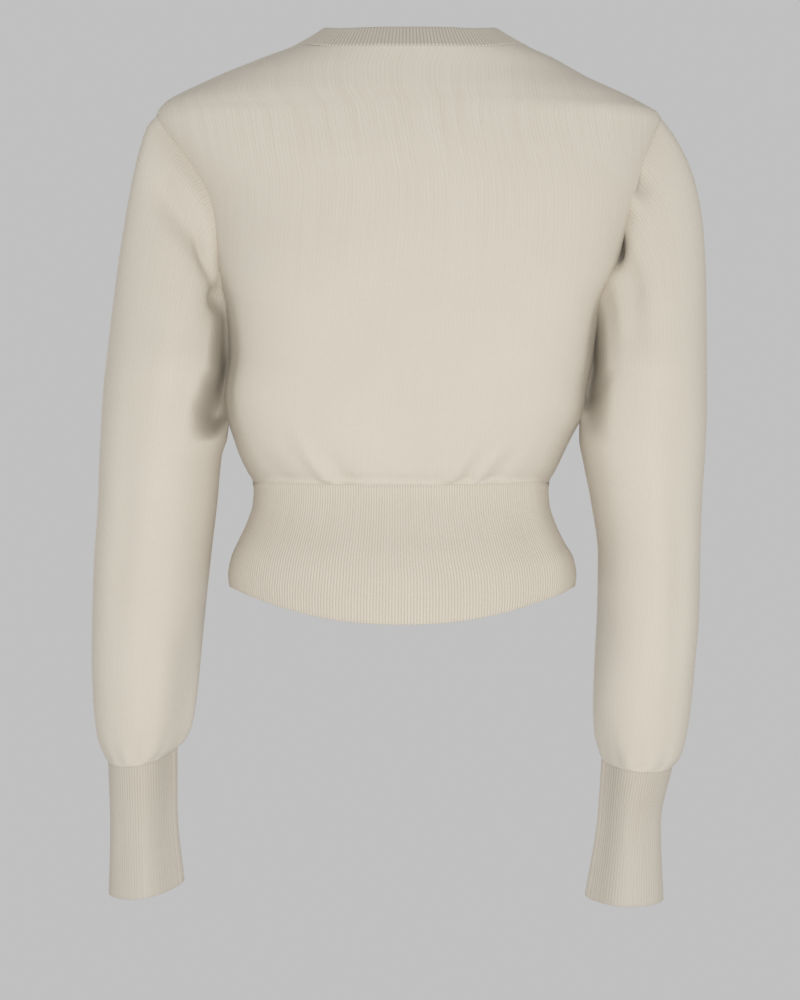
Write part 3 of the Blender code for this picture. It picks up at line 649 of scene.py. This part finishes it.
def makeFront(name, node, side, edgeAcross):
    bottom = bodyShape["linkingLine"] + cloth["seamGap"]
    top = neckline(bodyShape["shoulderSeam"]) - cloth["seamGap"]
    sewn = (cloth["sewn"], cloth["sewn"])
    rows = edged(fronts["rows"], fronts["length"], sewn)
    columns = edged(fronts["columns"], fronts["width"], sewn)
    gap = cloth["sideGap"]
    firstTurn = frontTurn(edgeAcross, -bodyShape["neckDrop"]) - side * gap
    neckTurn, _ = evenTurns(neckSeam, firstTurn, side * (bodyShape["shoulderSeam"] + gap), columns)
    neckHeight = neckline(neckTurn) - cloth["seamGap"]
    neckHeight[-1] = top

    def turnAt(share, level, height):
        first = frontTurn(edgeAcross, level) - side * gap
        guide = side * (frontGuide(height) + gap)
        edge = side * (frontEdge(height) + gap)
        turn = spread(lambda turns: bodyPoint(turns, level[..., None]), first, guide, share)
        return turn + (edge - guide) * share ** fronts["tipReach"]

    heights = (bottom + (top - bottom) * rows)[:, None]
    climb = rows[:, None]
    level = bottom + climb * (neckHeight[None] - bottom)
    share = np.broadcast_to(columns[None], level.shape)
    correction = neckTurn - turnAt(columns, neckHeight, np.full(columns.shape, top))
    turns = turnAt(share, level, np.broadcast_to(heights, level.shape)) + correction * smoothStep(climb)
    points = bodyPoint(turns, level)
    unfolded = points
    facing = normalsOf(points) * -side
    points = points + facing * gathers(fronts["gathers"], turns, level - bottom)[..., None]
    rim = rimOf(rows, fronts["length"], columns, fronts["width"], sewn)
    points, unfolded, rim, level = (part[:, ::-side] for part in (points, unfolded, rim, level))
    skins = wallOf(points, 0.0, cloth["jersey"], rim, unfolded=unfolded)
    across = columns[::-side] * fronts["width"] * metre
    piece = knitPiece(name, skins, across, level * metre, jersey)
    worn(piece, node)


makeFront("left_front_panel", "left_front", 1, bodyShape["leftFrontEdge"])
makeFront("right_front_panel", "right_front", -1, bodyShape["rightFrontEdge"])
print("fronts made")


sleeves = {
    "columns": 170,
    "rows": 230,
    "lean": 0.2,  # how much lower a ring is at its back, for each millimetre of depth
    "capSteps": [0.05, 0.14, 0.28, 0.48, 0.73],  # shares of the way from the armhole to the first ring
    "length": 560,  # about, for the rounding of its ends
    "width": 0.30,  # metres of knit round it
    "foldFades": (6, 8),  # folds die away this close to the armhole and to the cuff
    # height, outer side, inner side, swing to the front, half depth
    "left": {
        "side": 1,
        "swell": (0.5, 1),
        "rings": [
            (-262, 259, 149.5, -14, 60), (-280, 261, 150.5, -13.5, 58.5), (-300, 262.5, 152.5, -13, 57),
            (-328, 264, 155, -11, 55), (-345, 265, 160, -9.5, 53.5), (-385, 266.5, 164, -5, 51),
            (-430, 270, 169.5, 2, 50), (-475, 272, 174.5, 9, 49),
            (-520, 273, 179, 17, 46), (-555, 272, 182.5, 24, 42), (-582, 269.5, 186.5, 29, 37.5),
            (-599, 264, 192, 32, 33.5), (-607, 259.5, 200, 34, 31.5),
        ],
        # round a sleeve, 0 is at the body, 90 at the back and 180 outside
        "gathers": [
            (66, -12, 46, 7, -1.6), (82, -4, 34, 6, 1.0), (97, 3, 40, 7, -1.3), (112, 3, 30, 6, 0.8),
            (126, 4, 38, 7, -1.1), (150, 4, 32, 8, -1.0), (205, 6, 50, 12, -2.2), (240, -3, 40, 10, -1.8),
            (290, -6, 60, 12, -2.6), (330, 5, 44, 10, -2.0),
        ],
        # soft folds: turn, height, reach up and down, width in degrees, depth
        "folds": [
            (47, -210, 12, 10, -9.0), (92, -260, 70, 13, 1.8), (120, -400, 120, 15, -2.0),
            (84, -520, 60, 10, -1.6),
        ],
        # folds beside the armhole's seam: turn, distance from the seam, reach, width in degrees, depth
        "tucks": [(112, 30, 12, 26, -7.5), (98, 11, 9, 38, 2.4), (80, 22, 12, 18, -8.5)],
    },
    "right": {
        "side": -1,
        "swell": (1, 4.6),
        "rings": [
            (-262, 256.5, 156, -14, 60), (-285, 256.5, 149.5, -13.5, 58), (-305, 256.5, 147.5, -12.5, 56.5),
            (-330, 255.5, 147, -11, 55), (-350, 254.5, 150.5, -9.5, 53.5), (-385, 252.5, 157.5, -5, 51),
            (-430, 251.5, 163.5, 2, 50), (-475, 251, 163, 9, 49),
            (-520, 248, 161, 17, 46), (-555, 245, 160, 24, 42), (-582, 241.5, 161, 29, 38),
            (-602, 236, 165, 32, 33.5), (-611, 229, 168, 34, 31.5),
        ],
        "gathers": [
            (56, -8, 44, 7, -1.5), (72, -3, 30, 6, 0.9), (88, 3, 40, 7, -1.3), (106, 4, 36, 7, 0.9),
            (124, 5, 42, 7, -1.2), (200, -4, 48, 12, -2.2), (240, 4, 40, 10, -1.8), (285, 7, 62, 12, -2.6),
            (325, -4, 44, 10, -2.0),
        ],
        "folds": [
            (76, -196, 42, 9, -4.0), (60, -215, 42, 8, 2.2), (98, -330, 110, 14, 1.8),
            (122, -470, 110, 15, -2.0),
        ],
        "tucks": [(77, 15, 12, 12, -26.0), (98, 14, 9, 6, -6.5), (114, 14, 9, 6, -6.0), (106, 16, 9, 5, 2.6)],
    },
    # how far the side beside the body is pressed in: height, strength, width in degrees, the height
    # that it gains there, and how suddenly it starts
    "pressed": {
        1: [(-190, 0, 12, 0, 6), (-228, 0.1, 13, 0, 8), (-238, 0.9, 20, 0, 8), (-250, 1.7, 34, 0, 8),
            (-266, 1.88, 44, 0, 8), (-284, 1.88, 50, 0, 8), (-300, 1.7, 54, 0, 8), (-310, 0.6, 58, 0, 6),
            (-320, 0.1, 60, 0, 6), (-480, 0.1, 50, 0, 4), (-530, 0.55, 52, 2, 4), (-575, 0.68, 53, 7, 4),
            (-607, 0.68, 54, 13, 4), (-640, 0.65, 56, 12, 4), (-722, 0.55, 60, 11, 4)],
        -1: [(-190, 0, 10, 0, 6), (-215, 0.6, 14, 0, 6), (-236, 1.6, 26, 0, 6), (-262, 1.85, 33, 0, 6),
             (-286, 1.85, 42, 0, 6), (-298, 1.4, 44, 0, 6), (-310, 0.5, 43, 0, 6), (-322, 0.1, 43, 0, 6),
             (-560, 0.05, 40, 0, 4), (-594, 0.5, 46, 4, 4), (-611, 0.66, 50, 6, 4), (-640, 0.7, 52, 5, 4),
             (-727, 0.6, 54, 3, 4)],
    },
    "flat": (0.36, 0.60),
    "flatArea": 0.165,
}
pressed = {side: columnsOf(rows) for side, rows in sleeves["pressed"].items()}


def armRing(curves, turn, height, side):
    # a ring of a sleeve or cuff, pressed in beside the body at the back
    outer, inner, forward, depth = (curve(height) for curve in curves)
    strength, width, tilt, power = (curve(height) for curve in pressed[side])
    angle = np.radians(turn)
    x = (outer + inner) / 2 - (outer - inner) / 2 * np.cos(angle)
    y = depth * np.sin(angle)
    keep = np.where(y > 0, 1 - strength * np.exp(-((turn / width) ** power)), 1)
    climb = tilt * ((1 + np.cos(angle)) / 2) ** 2
    return np.stack([x + y * 0, y * keep - forward, height - sleeves["lean"] * y + climb], -1)


def armhole(turn):
    # turn round the arm: 0 underarm, 90 back, 180 tip of the shoulder, 270 front
    share = (1 - np.cos(np.radians(turn))) / 2
    height = bodyShape["underarm"] + share * (bodyShape["shoulderTip"] - bodyShape["underarm"])
    return np.where(np.mod(turn, 360) < 180, backEdge(height), frontEdge(height)), height


def sleeveNet(arm, turns, rows):
    # the rings of a sleeve, from the armhole's seam down, joined smoothly
    curves = columnsOf(arm["rings"])
    flip = np.array([arm["side"], 1, 1])
    bodyTurn, height = armhole(turns)
    start = bodyPoint(bodyTurn, height)
    normal = np.cross(bodyPoint(bodyTurn + 0.5, height) - bodyPoint(bodyTurn - 0.5, height),
                      bodyPoint(bodyTurn, height + 0.5) - bodyPoint(bodyTurn, height - 0.5))
    normal = normal / np.linalg.norm(normal, axis=-1, keepdims=True)
    along = np.roll(start, -1, 0) - np.roll(start, 1, 0)
    away = np.cross(normal, along)
    away = away / np.linalg.norm(away, axis=-1, keepdims=True)
    under = np.clip(np.cos(np.radians(turns)), 0, 1)[:, None]
    start = start + (away * (1 - under) + normal * under) * 2 * cloth["seamGap"]
    firstRing = arm["rings"][0][0]
    end = armRing(curves, turns, np.full(turns.shape, float(firstRing)), arm["side"])
    rings = [start]
    for step in sleeves["capSteps"]:
        swell = 1 - (1 - step ** arm["swell"][0]) ** arm["swell"][1]
        ease = np.where(end[:, 0] > start[:, 0], swell, step)
        shares = np.stack([ease, np.full(ease.shape, step**0.7), np.full(ease.shape, step)], -1)
        rings.append(start + (end - start) * shares)
    heights = [ring[0] for ring in arm["rings"]]
    heights[-1] += 2 * cloth["seamGap"]
    rings += [armRing(curves, turns, np.full(turns.shape, float(h)), arm["side"]) for h in heights]
    rings = np.array(rings)
    steps = np.linalg.norm(np.diff(rings, axis=0), axis=-1).mean(1)
    reach = np.concatenate([[0], np.cumsum(steps)])
    return smoothCurve(reach, rings)(rows * reach[-1]) * flip, rows * reach[-1]


def makeSleeve(name, node, arm):
    columns = np.linspace(0, 1, sleeves["columns"] + 1)
    turns = columns[:-1] * 360
    sewn = (cloth["sewn"], cloth["sewn"])
    rows = edged(sleeves["rows"], sleeves["length"], sewn)[::-1]
    net, reach = sleeveNet(arm, turns, 1 - rows)
    reach = reach[:, None]
    fromCuff = reach[-1] - reach
    atArmhole, atCuff = sleeves["foldFades"]
    ends = smoothStep(reach / atArmhole) * smoothStep(fromCuff / atCuff)
    relief = folds(arm["folds"], turns[None], net[..., 2]) + folds(arm["tucks"], turns[None], reach)
    relief = relief * ends + gathers(arm["gathers"], turns[None], fromCuff)
    facing = normalsOf(net, closed=True)
    outwardSign = np.sign((facing * (net - net.mean(1, keepdims=True))).sum())
    net = net + facing * outwardSign * relief[..., None]
    if outwardSign < 0:
        net = net[:, ::-1]
        columns = columns[::-1]
    rim = rimShare(rows, sleeves["length"], sewn)[:, None]
    skins = wallOf(net, 0.0, cloth["jersey"], rim, closed=True)
    piece = knitPiece(name, skins, columns * sleeves["width"], -reach * metre, jersey, closed=True)
    worn(piece, node)


makeSleeve("left_sleeve_cloth", "left_sleeve", sleeves["left"])
makeSleeve("right_sleeve_cloth", "right_sleeve", sleeves["right"])
print("sleeves made")


ribs = {
    "pitch": 2.62,
    "widest": -470,
    "rows": 30,
    "columnsPerRib": 6,
    "backFlat": (0.30, 0.122),
    "frontFlat": (0.16, 0.122),
}


def ribRelief(place):
    # a rounded rib for every whole number, with a narrow groove between
    return cloth["ribRise"] * np.abs(np.sin(np.pi * place)) ** cloth["ribRoundness"]


def makeWaistRib(name, node, firstEdge, lastEdge):
    height = bodyShape["linkingLine"] - cloth["seamGap"]
    length = height - bodyShape["hem"]
    rolls = (cloth["free"], cloth["sewn"])
    rows = edged(ribs["rows"], length, rolls)
    heights = bodyShape["hem"] + length * rows
    widest = ribs["widest"]
    _, around = evenTurns(lambda turn: bodyPoint(turn, widest), firstEdge(widest), lastEdge(widest), [0])
    count = round(around / ribs["pitch"])
    shares = np.linspace(0, 1, count * ribs["columnsPerRib"] + 1)
    net = []
    for level in heights:
        turns, _ = evenTurns(lambda turn: bodyPoint(turn, level), firstEdge(level) + cloth["ribSideGap"],
                             lastEdge(level) - cloth["ribSideGap"], shares)
        net.append(turns)
    points = bodyPoint(np.array(net), heights[:, None])
    relief = ribRelief(shares * count)[None]
    rim = rimShare(rows, length, rolls)[:, None]
    skins = wallOf(points, relief, cloth["ribGround"] + relief * cloth["ribFarSide"], rim)
    piece = knitPiece(name, skins, shares * count, (height - heights[:, None]) * metre, rib)
    worn(piece, node)


makeWaistRib("back_rib_cloth", "back_rib", lambda h: -sideSeamCurve(h), sideSeamCurve)
makeWaistRib("left_front_rib_cloth", "left_front_rib", sideSeamCurve,
             lambda h: frontTurn(bodyShape["leftFrontEdge"], h))
makeWaistRib("right_front_rib_cloth", "right_front_rib",
             lambda h: 360 + frontTurn(bodyShape["rightFrontEdge"], h), lambda h: 360 - sideSeamCurve(h))
print("waist rib made")


cuffs = {
    "pitch": 2.25,
    "rows": 36,
    "columnsPerRib": 6,
    # height, outer side, inner side, swing to the front, half depth
    "left": {
        "side": 1,
        "rings": [(-607, 259.5, 200, 34, 31.5), (-660, 258.5, 200.5, 46, 27), (-722, 260.5, 195, 60, 31)],
        "folds": [(86, -665, 80, 12, 1.4), (128, -690, 40, 16, -0.9)],
        "seam": 26,  # turn of the cuff's own seam
    },
    "right": {
        "side": -1,
        "rings": [(-611, 229, 168, 34, 31.5), (-660, 219.5, 165, 46, 27), (-727, 222.5, 154.5, 60, 32)],
        "folds": [(84, -665, 80, 12, 1.4), (126, -660, 60, 18, -0.9)],
        "seam": 24,
    },
    "ribRise": 0.35,  # of the waist rib's relief
    "foldFade": 10,  # folds die away this close to the sleeve
    "seamWidth": 1.6,  # in degrees
    "seamDepth": 0.5,
    "flat": (0.20, 0.122),
}


def makeCuff(name, node, arm):
    curves = columnsOf(arm["rings"])
    top, middle, bottom = (ring[0] for ring in arm["rings"])
    length = top - cloth["seamGap"] - bottom
    rolls = (cloth["free"], cloth["sewn"])
    rows = edged(cuffs["rows"], length, rolls)
    heights = bottom + length * rows
    outer, inner, _, depth = arm["rings"][1][1:]
    count = round(math.pi * ((outer - inner) / 2 + depth) / cuffs["pitch"])
    shares = np.linspace(0, 1, count * cuffs["columnsPerRib"] + 1)
    turns = shares[None, :-1] * 360
    levels = heights[:, None] + turns * 0
    points = armRing(curves, turns, levels, arm["side"]) * np.array([arm["side"], 1, 1])
    swell = folds(arm["folds"], turns, levels) * smoothStep((top - levels) / cuffs["foldFade"])
    seam = np.exp(-(((turns - arm["seam"]) / cuffs["seamWidth"]) ** 2))
    ridges = ribRelief(shares[:-1] * count)[None] * cuffs["ribRise"]
    relief = ridges * (1 - seam) - seam * cuffs["seamDepth"] + swell
    if arm["side"] > 0:
        points, relief = points[:, ::-1], relief[:, ::-1]
    rim = rimShare(rows, length, rolls)[:, None]
    skins = wallOf(points, relief, cloth["ribGround"] - swell[:, ::-arm["side"]], rim, closed=True)
    along = (top - heights[:, None]) * metre
    piece = knitPiece(name, skins, shares * count, along, shadedCuffRib, closed=True)
    worn(piece, node)


makeCuff("left_cuff_cloth", "left_cuff", cuffs["left"])
makeCuff("right_cuff_cloth", "right_cuff", cuffs["right"])
print("cuffs made")


neckbandShape = {
    "pitch": 3.1,
    "width": 34,
    "rows": 20,
    "columnsPerRib": 6,
    "fan": 40,  # the band leans aside only this far from the button bands
    "seamRoll": 0.8,  # of a free edge's rounding, at its seam
    # turn, and the direction in which the band rises there: across, back, up
    "rises": [
        (0, 0, -0.81, 0.59), (45, -0.40, -0.72, 0.54), (90, -0.74, -0.52, 0.42), (120, -0.76, -0.42, 0.50),
        (135, -0.80, -0.32, 0.52), (150, -0.86, -0.12, 0.50), (162, -0.70, 0.12, 0.70),
        (172, -0.38, 0.37, 0.85), (180, 0, 0.46, 0.89),
    ],
    "flat": (0.66, 0.036),
}
riseCurves = columnsOf(neckbandShape["rises"])


def neckbandPoint(turn, along):
    seam = neckSeam(turn)
    halfTurn = fromBack(turn)
    across, inward, up = (curve(halfTurn) for curve in riseCurves)
    across = across * np.sign(seam[..., 0])
    fan = np.clip((np.abs(seam[..., 0]) - bodyShape["leftFrontEdge"]) / neckbandShape["fan"], 0, 1)
    across = np.where(halfTurn > 90, across * fan, across)
    rise = np.stack([across, inward, up], -1)
    return seam + np.asarray(along)[..., None] * rise / np.linalg.norm(rise, axis=-1, keepdims=True)


def makeNeckband():
    drop = -bodyShape["neckDrop"]
    first = frontTurn(bodyShape["rightFrontEdge"], drop) + cloth["sideGap"]
    last = frontTurn(bodyShape["leftFrontEdge"], drop) - cloth["sideGap"]
    _, around = evenTurns(neckSeam, first, last, [0])
    count = round(around / neckbandShape["pitch"])
    shares = np.linspace(0, 1, count * neckbandShape["columnsPerRib"] + 1)
    turns, _ = evenTurns(neckSeam, first, last, shares)
    rolls = (cloth["free"] * neckbandShape["seamRoll"], cloth["free"])
    rows = edged(neckbandShape["rows"], neckbandShape["width"], rolls)
    along = cloth["seamGap"] + (neckbandShape["width"] - cloth["seamGap"]) * rows
    points = neckbandPoint(turns[None], along[:, None])
    relief = ribRelief(shares * count)[None]
    rim = rimShare(rows, neckbandShape["width"], rolls)[:, None]
    skins = wallOf(points, relief, cloth["ribGround"] + relief * cloth["ribFarSide"], rim)
    piece = knitPiece("neckband_cloth", skins, shares * count, along[:, None] * metre, neckRib)
    worn(piece, "neckband")


makeNeckband()
print("neckband made")


bands = {
    "width": 30,
    "ramp": 6,  # across the left band, where it dips under the right one
    "lapGap": 0.6,
    "seamGap": 0.16,  # from the front panel
    "length": 430,  # about, for the rounding of its ends
    "columns": 34,
    "rows": 240,
    "flat": (0.030, 0.47),
}


def frontSurface(across, climb):
    # a point near the centre front, onto the neckband's slant
    drop = -bodyShape["neckDrop"]
    low = bodyPoint(frontTurn(across, np.minimum(climb, drop)), np.minimum(climb, drop))
    high = neckbandPoint(frontTurn(across, drop) + climb * 0, np.maximum(climb - drop, 0))
    return np.where((climb <= drop)[..., None], low, high)


def frontFacing(across, climb, step=0.5):
    sideStep = frontSurface(across + step, climb) - frontSurface(across - step, climb)
    upward = frontSurface(across, climb + step) - frontSurface(across, climb - step)
    facing = np.cross(sideStep, upward)
    return facing / np.linalg.norm(facing, axis=-1, keepdims=True)


def makeBand(name, node, start, end, dip):
    top = -bodyShape["neckDrop"] + neckbandShape["width"]
    rolls = (cloth["free"], cloth["free"])
    rows = edged(bands["rows"], top - bodyShape["hem"], rolls)
    columns = edged(bands["columns"], bands["width"], rolls)
    climb = bodyShape["hem"] + (top - bodyShape["hem"]) * rows
    across = start + (end - start) * columns
    climbs, acrosses = np.broadcast_arrays(climb[:, None], across[None])
    points = frontSurface(acrosses, climbs)
    share = np.clip((bodyShape["leftFrontEdge"] - acrosses) / bands["ramp"], 0, 1)
    sunk = -(cloth["jersey"] + bands["lapGap"]) * smoothStep(share) * dip
    points = points + frontFacing(acrosses, climbs) * sunk[..., None]
    if end < start:
        points, acrosses = points[:, ::-1], acrosses[:, ::-1]
    rim = rimOf(rows, bands["length"], columns, bands["width"], rolls)
    skins = wallOf(points, 0.0, cloth["jersey"], rim)
    piece = knitPiece(name, skins, acrosses * metre, climbs * metre, jersey)
    worn(piece, node)


makeBand("left_button_band", "left_placket", bodyShape["leftFrontEdge"] - bands["seamGap"],
         bodyShape["leftFrontEdge"] - bands["width"], 1)
makeBand("right_button_band", "right_placket", bodyShape["rightFrontEdge"] + bands["seamGap"],
         bodyShape["rightFrontEdge"] + bands["width"], 0)
print("button bands made")


buttonShape = {
    "count": 7,
    # outline from the middle of the face to the middle of the back: radius, height
    "face": [(0, 0.35), (2.6, 0.38), (3.7, 0.62), (4.3, 1.05), (4.9, 1.2), (5.4, 1.08), (5.75, 0.6)],
    "back": [(5.7, -0.5), (5.2, -1.0), (4.2, -1.2), (0, -1.2)],
    "holes": 1.25,  # of the four holes, from the middle, along each side
    "holeRadius": 0.52,
    "thread": 0.3,
    "threadDrop": 0.42,  # from the button's middle to its thread
    "buttonhole": (6.7, 0.75, 0.42),  # half length, half width and thickness of its stitched edge
    "buttonholeDrop": 1.75,
    "stitches": 24,  # round a buttonhole
    "stitchRise": 0.22,
}


def spun(bm, section, axis, steps, centre=(0, 0, 0)):
    # the section's edges go once round the axis
    edges = list(dict.fromkeys(edge for vert in section for edge in vert.link_edges))
    bmesh.ops.spin(bm, geom=section + edges, cent=centre, axis=axis, angle=2 * math.pi, steps=steps,
                   use_merge=True)


def pearlFinish():
    # pale polished resin with faint clouds and streaks
    shade = Shade("button_resin", roughness=0.28)
    place = shade.place()
    cloud = shade.noise(shade.stretched(place, (260, 260, 120)), 1, detail=4, roughness=0.6)
    streak = shade.noise(shade.stretched(place, (90, 90, 700)), 1, detail=2)
    colour = shade.mix(cloud * 0.7 + streak * 0.3, (0.80, 0.755, 0.66), (0.66, 0.60, 0.49))
    return shade.finish(colour, cloud, distance=0.00005, strength=0.2)


def threadFinish():
    shade = Shade("sewing_thread", roughness=0.8)
    place = shade.place()
    twist = shade.noise(shade.stretched(place, (1500, 1500, 2600)), 1, detail=2)
    return shade.finish(shade.mix(twist, (0.74, 0.69, 0.60), (0.56, 0.50, 0.41)), twist, distance=0.0001)


def cleaned(bm, name):
    bmesh.ops.remove_doubles(bm, verts=bm.verts[:], dist=1e-4)
    bmesh.ops.recalc_face_normals(bm, faces=bm.faces[:])
    return meshOf(bm, name)


def buttonMesh():
    # the outline is spun, then four holes are cut through
    bm = bmesh.new()
    outline = [bm.verts.new((r, 0, z)) for r, z in buttonShape["face"] + buttonShape["back"]]
    for pair in zip(outline, outline[1:]):
        bm.edges.new(pair)
    spun(bm, outline, (0, 0, 1), 64)
    body = bpy.data.objects.new("button_blank", cleaned(bm, "button_blank"))
    bm = bmesh.new()
    for x in (-1, 1):
        for y in (-1, 1):
            place = Matrix.Translation((x * buttonShape["holes"], y * buttonShape["holes"], 0))
            bmesh.ops.create_cone(bm, cap_ends=True, segments=20, radius1=buttonShape["holeRadius"],
                                  radius2=buttonShape["holeRadius"], depth=6, matrix=place)
    drill = bpy.data.objects.new("drill", meshOf(bm, "drill"))
    for made in (body, drill):
        bpy.context.scene.collection.objects.link(made)
    cut = body.modifiers.new("holes", "BOOLEAN")
    cut.operation, cut.object, cut.solver = "DIFFERENCE", drill, "EXACT"
    mesh = bpy.data.meshes.new_from_object(body.evaluated_get(bpy.context.evaluated_depsgraph_get()))
    for made in (body, drill):
        bpy.data.objects.remove(made)
    return mesh


def ringMesh(centres, radius, ringRadius):
    # upright rings of thread, each through two of the holes
    bm = bmesh.new()
    for y in centres:
        place = Matrix.Translation((ringRadius, y, 0))
        section = bmesh.ops.create_circle(bm, segments=10, radius=radius, matrix=place)["verts"]
        spun(bm, section, (0, 1, 0), 28, (0, y, 0))
    return cleaned(bm, "thread_rings")


def buttonholeMesh():
    # the whipped edge of a slit: a long thin ring with a stitch at every step
    half, wide, thick = buttonShape["buttonhole"]
    bm = bmesh.new()
    section = bmesh.ops.create_circle(bm, segments=8, radius=thick)["verts"]
    bmesh.ops.rotate(bm, verts=section, cent=(0, 0, 0), matrix=Matrix.Rotation(math.pi / 2, 3, "X"))
    bmesh.ops.translate(bm, vec=(wide, 0, 0), verts=section)
    spun(bm, section, (0, 0, 1), 96)
    bmesh.ops.remove_doubles(bm, verts=bm.verts[:], dist=1e-4)
    for vert in bm.verts:
        turn = math.atan2(vert.co.y, vert.co.x)
        vert.co.z *= 1 + buttonShape["stitchRise"] * math.cos(turn * buttonShape["stitches"])
        vert.co.y += (half - wide) * math.tanh(2.2 * math.sin(turn))
    bmesh.ops.recalc_face_normals(bm, faces=bm.faces[:])
    return meshOf(bm, "buttonhole_edge")


def placed(name, shape, seat, finish):
    mesh = shape.copy()
    mesh.name = name
    mesh.transform(seat)
    mesh.materials.clear()
    mesh.shade_smooth()
    return dressed(name, mesh, finish)


def makeButtons():
    pearl, thread = pearlFinish(), threadFinish()
    blank, edge = buttonMesh(), buttonholeMesh()
    holes = buttonShape["holes"]
    rings = ringMesh((-holes, holes), buttonShape["thread"], holes)
    climbs = np.linspace(bodyShape["hem"], -bodyShape["neckDrop"] + neckbandShape["width"], 1700)
    for number in range(1, buttonShape["count"] + 1):
        node = f"button_{number}"
        low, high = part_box(node)
        middle = (Vector(low) + Vector(high)) / 2
        across = np.full(climbs.shape, middle.x / metre)
        away = np.linalg.norm(frontSurface(across, climbs) - np.array(middle) / metre, axis=-1)
        climb = climbs[away.argmin()]
        facing = Vector(frontFacing(middle.x / metre, climb))
        sideways = (Vector((1, 0, 0)) - facing * facing.x).normalized()
        turn = Matrix((sideways, facing.cross(sideways), facing)).transposed().to_4x4()
        seat = Matrix.Translation(middle) @ turn @ Matrix.Scale(metre, 4)
        piece = placed(node + "_resin", blank, seat, pearl)
        worn(piece, node)
        for part, shape in (("_thread", rings), ("_buttonhole", edge)):
            drop = Matrix.Translation((0, 0, -buttonShape[part[1:] + "Drop"]))
            trim = placed(node + part, shape, seat @ drop, thread)
            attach(trim, "root")


makeButtons()
print("buttons made")


studio = {
    "distance": 3.5,
    "cameraHeight": -0.545,
    "aimHeight": -0.382,
    "aimAcross": 0.0069,
    "span": 0.86,  # metres across the photo's longer side at the garment
    "sensor": 36,
    "background": (0.527, 0.527, 0.527),
    "floorHeight": -1.35,
    "floorRadius": 2.3,
    # name, place, size, power
    "lamps": [
        ("key", (-0.75, 3.1, -1.0), 1.0, 30), ("fill", (0.65, 3.1, -1.0), 1.0, 18),
        ("side_right", (-2.5, 1.0, -0.4), 1.4, 6), ("side_left", (2.5, 1.0, -0.4), 1.4, 5.5),
        ("front", (0.5, -2.6, 0.2), 1.8, 34),
    ],
}


def makeCamera():
    camera = bpy.data.cameras.new("camera")
    camera.sensor_width = studio["sensor"]
    camera.lens = studio["sensor"] * studio["distance"] / studio["span"]
    holder = bpy.data.objects.new("camera", camera)
    rise = math.atan2(studio["aimHeight"] - studio["cameraHeight"], studio["distance"])
    holder.location = (studio["aimAcross"], studio["distance"], studio["cameraHeight"])
    holder.rotation_euler = (math.pi / 2 + rise, 0, math.pi)
    bpy.context.scene.collection.objects.link(holder)
    bpy.context.scene.camera = holder


def makeLamp(name, place, size, power, aim=(0, 0, -0.4)):
    lamp = bpy.data.lights.new(name, "AREA")
    lamp.size = size
    lamp.energy = power
    holder = bpy.data.objects.new(name, lamp)
    holder.location = place
    holder.rotation_euler = (Vector(aim) - Vector(place)).to_track_quat("-Z", "Y").to_euler()
    bpy.context.scene.collection.objects.link(holder)


def makeStage():
    world = bpy.data.worlds.new("studio")
    world.use_nodes = True
    world.node_tree.nodes["Background"].inputs["Color"].default_value = (*studio["background"], 1)
    bpy.context.scene.world = world
    shade = Shade("pale_floor", roughness=0.9)
    place = shade.place()
    colour = shade.mix(shade.noise(place, 3), (0.66, 0.66, 0.66), (0.69, 0.69, 0.69))
    x, y = (shade.axis(place, k) for k in (0, 1))
    fade = shade.eased((x * x + y * y) ** 0.5, 0.5, studio["floorRadius"] * 0.97, 1, 0)
    shade.tree.links.new(fade.socket, shade.shader.inputs["Alpha"])
    bm = bmesh.new()
    bmesh.ops.create_circle(bm, cap_ends=True, segments=96, radius=studio["floorRadius"])
    bmesh.ops.translate(bm, vec=(0, 0, studio["floorHeight"]), verts=bm.verts)
    dressed("floor", meshOf(bm, "floor"), shade.finish(colour))


makeCamera()
for name, place, size, power in studio["lamps"]:
    makeLamp(name, place, size, power)
makeStage()
bpy.context.scene.view_settings.view_transform = "Standard"
print("studio ready")
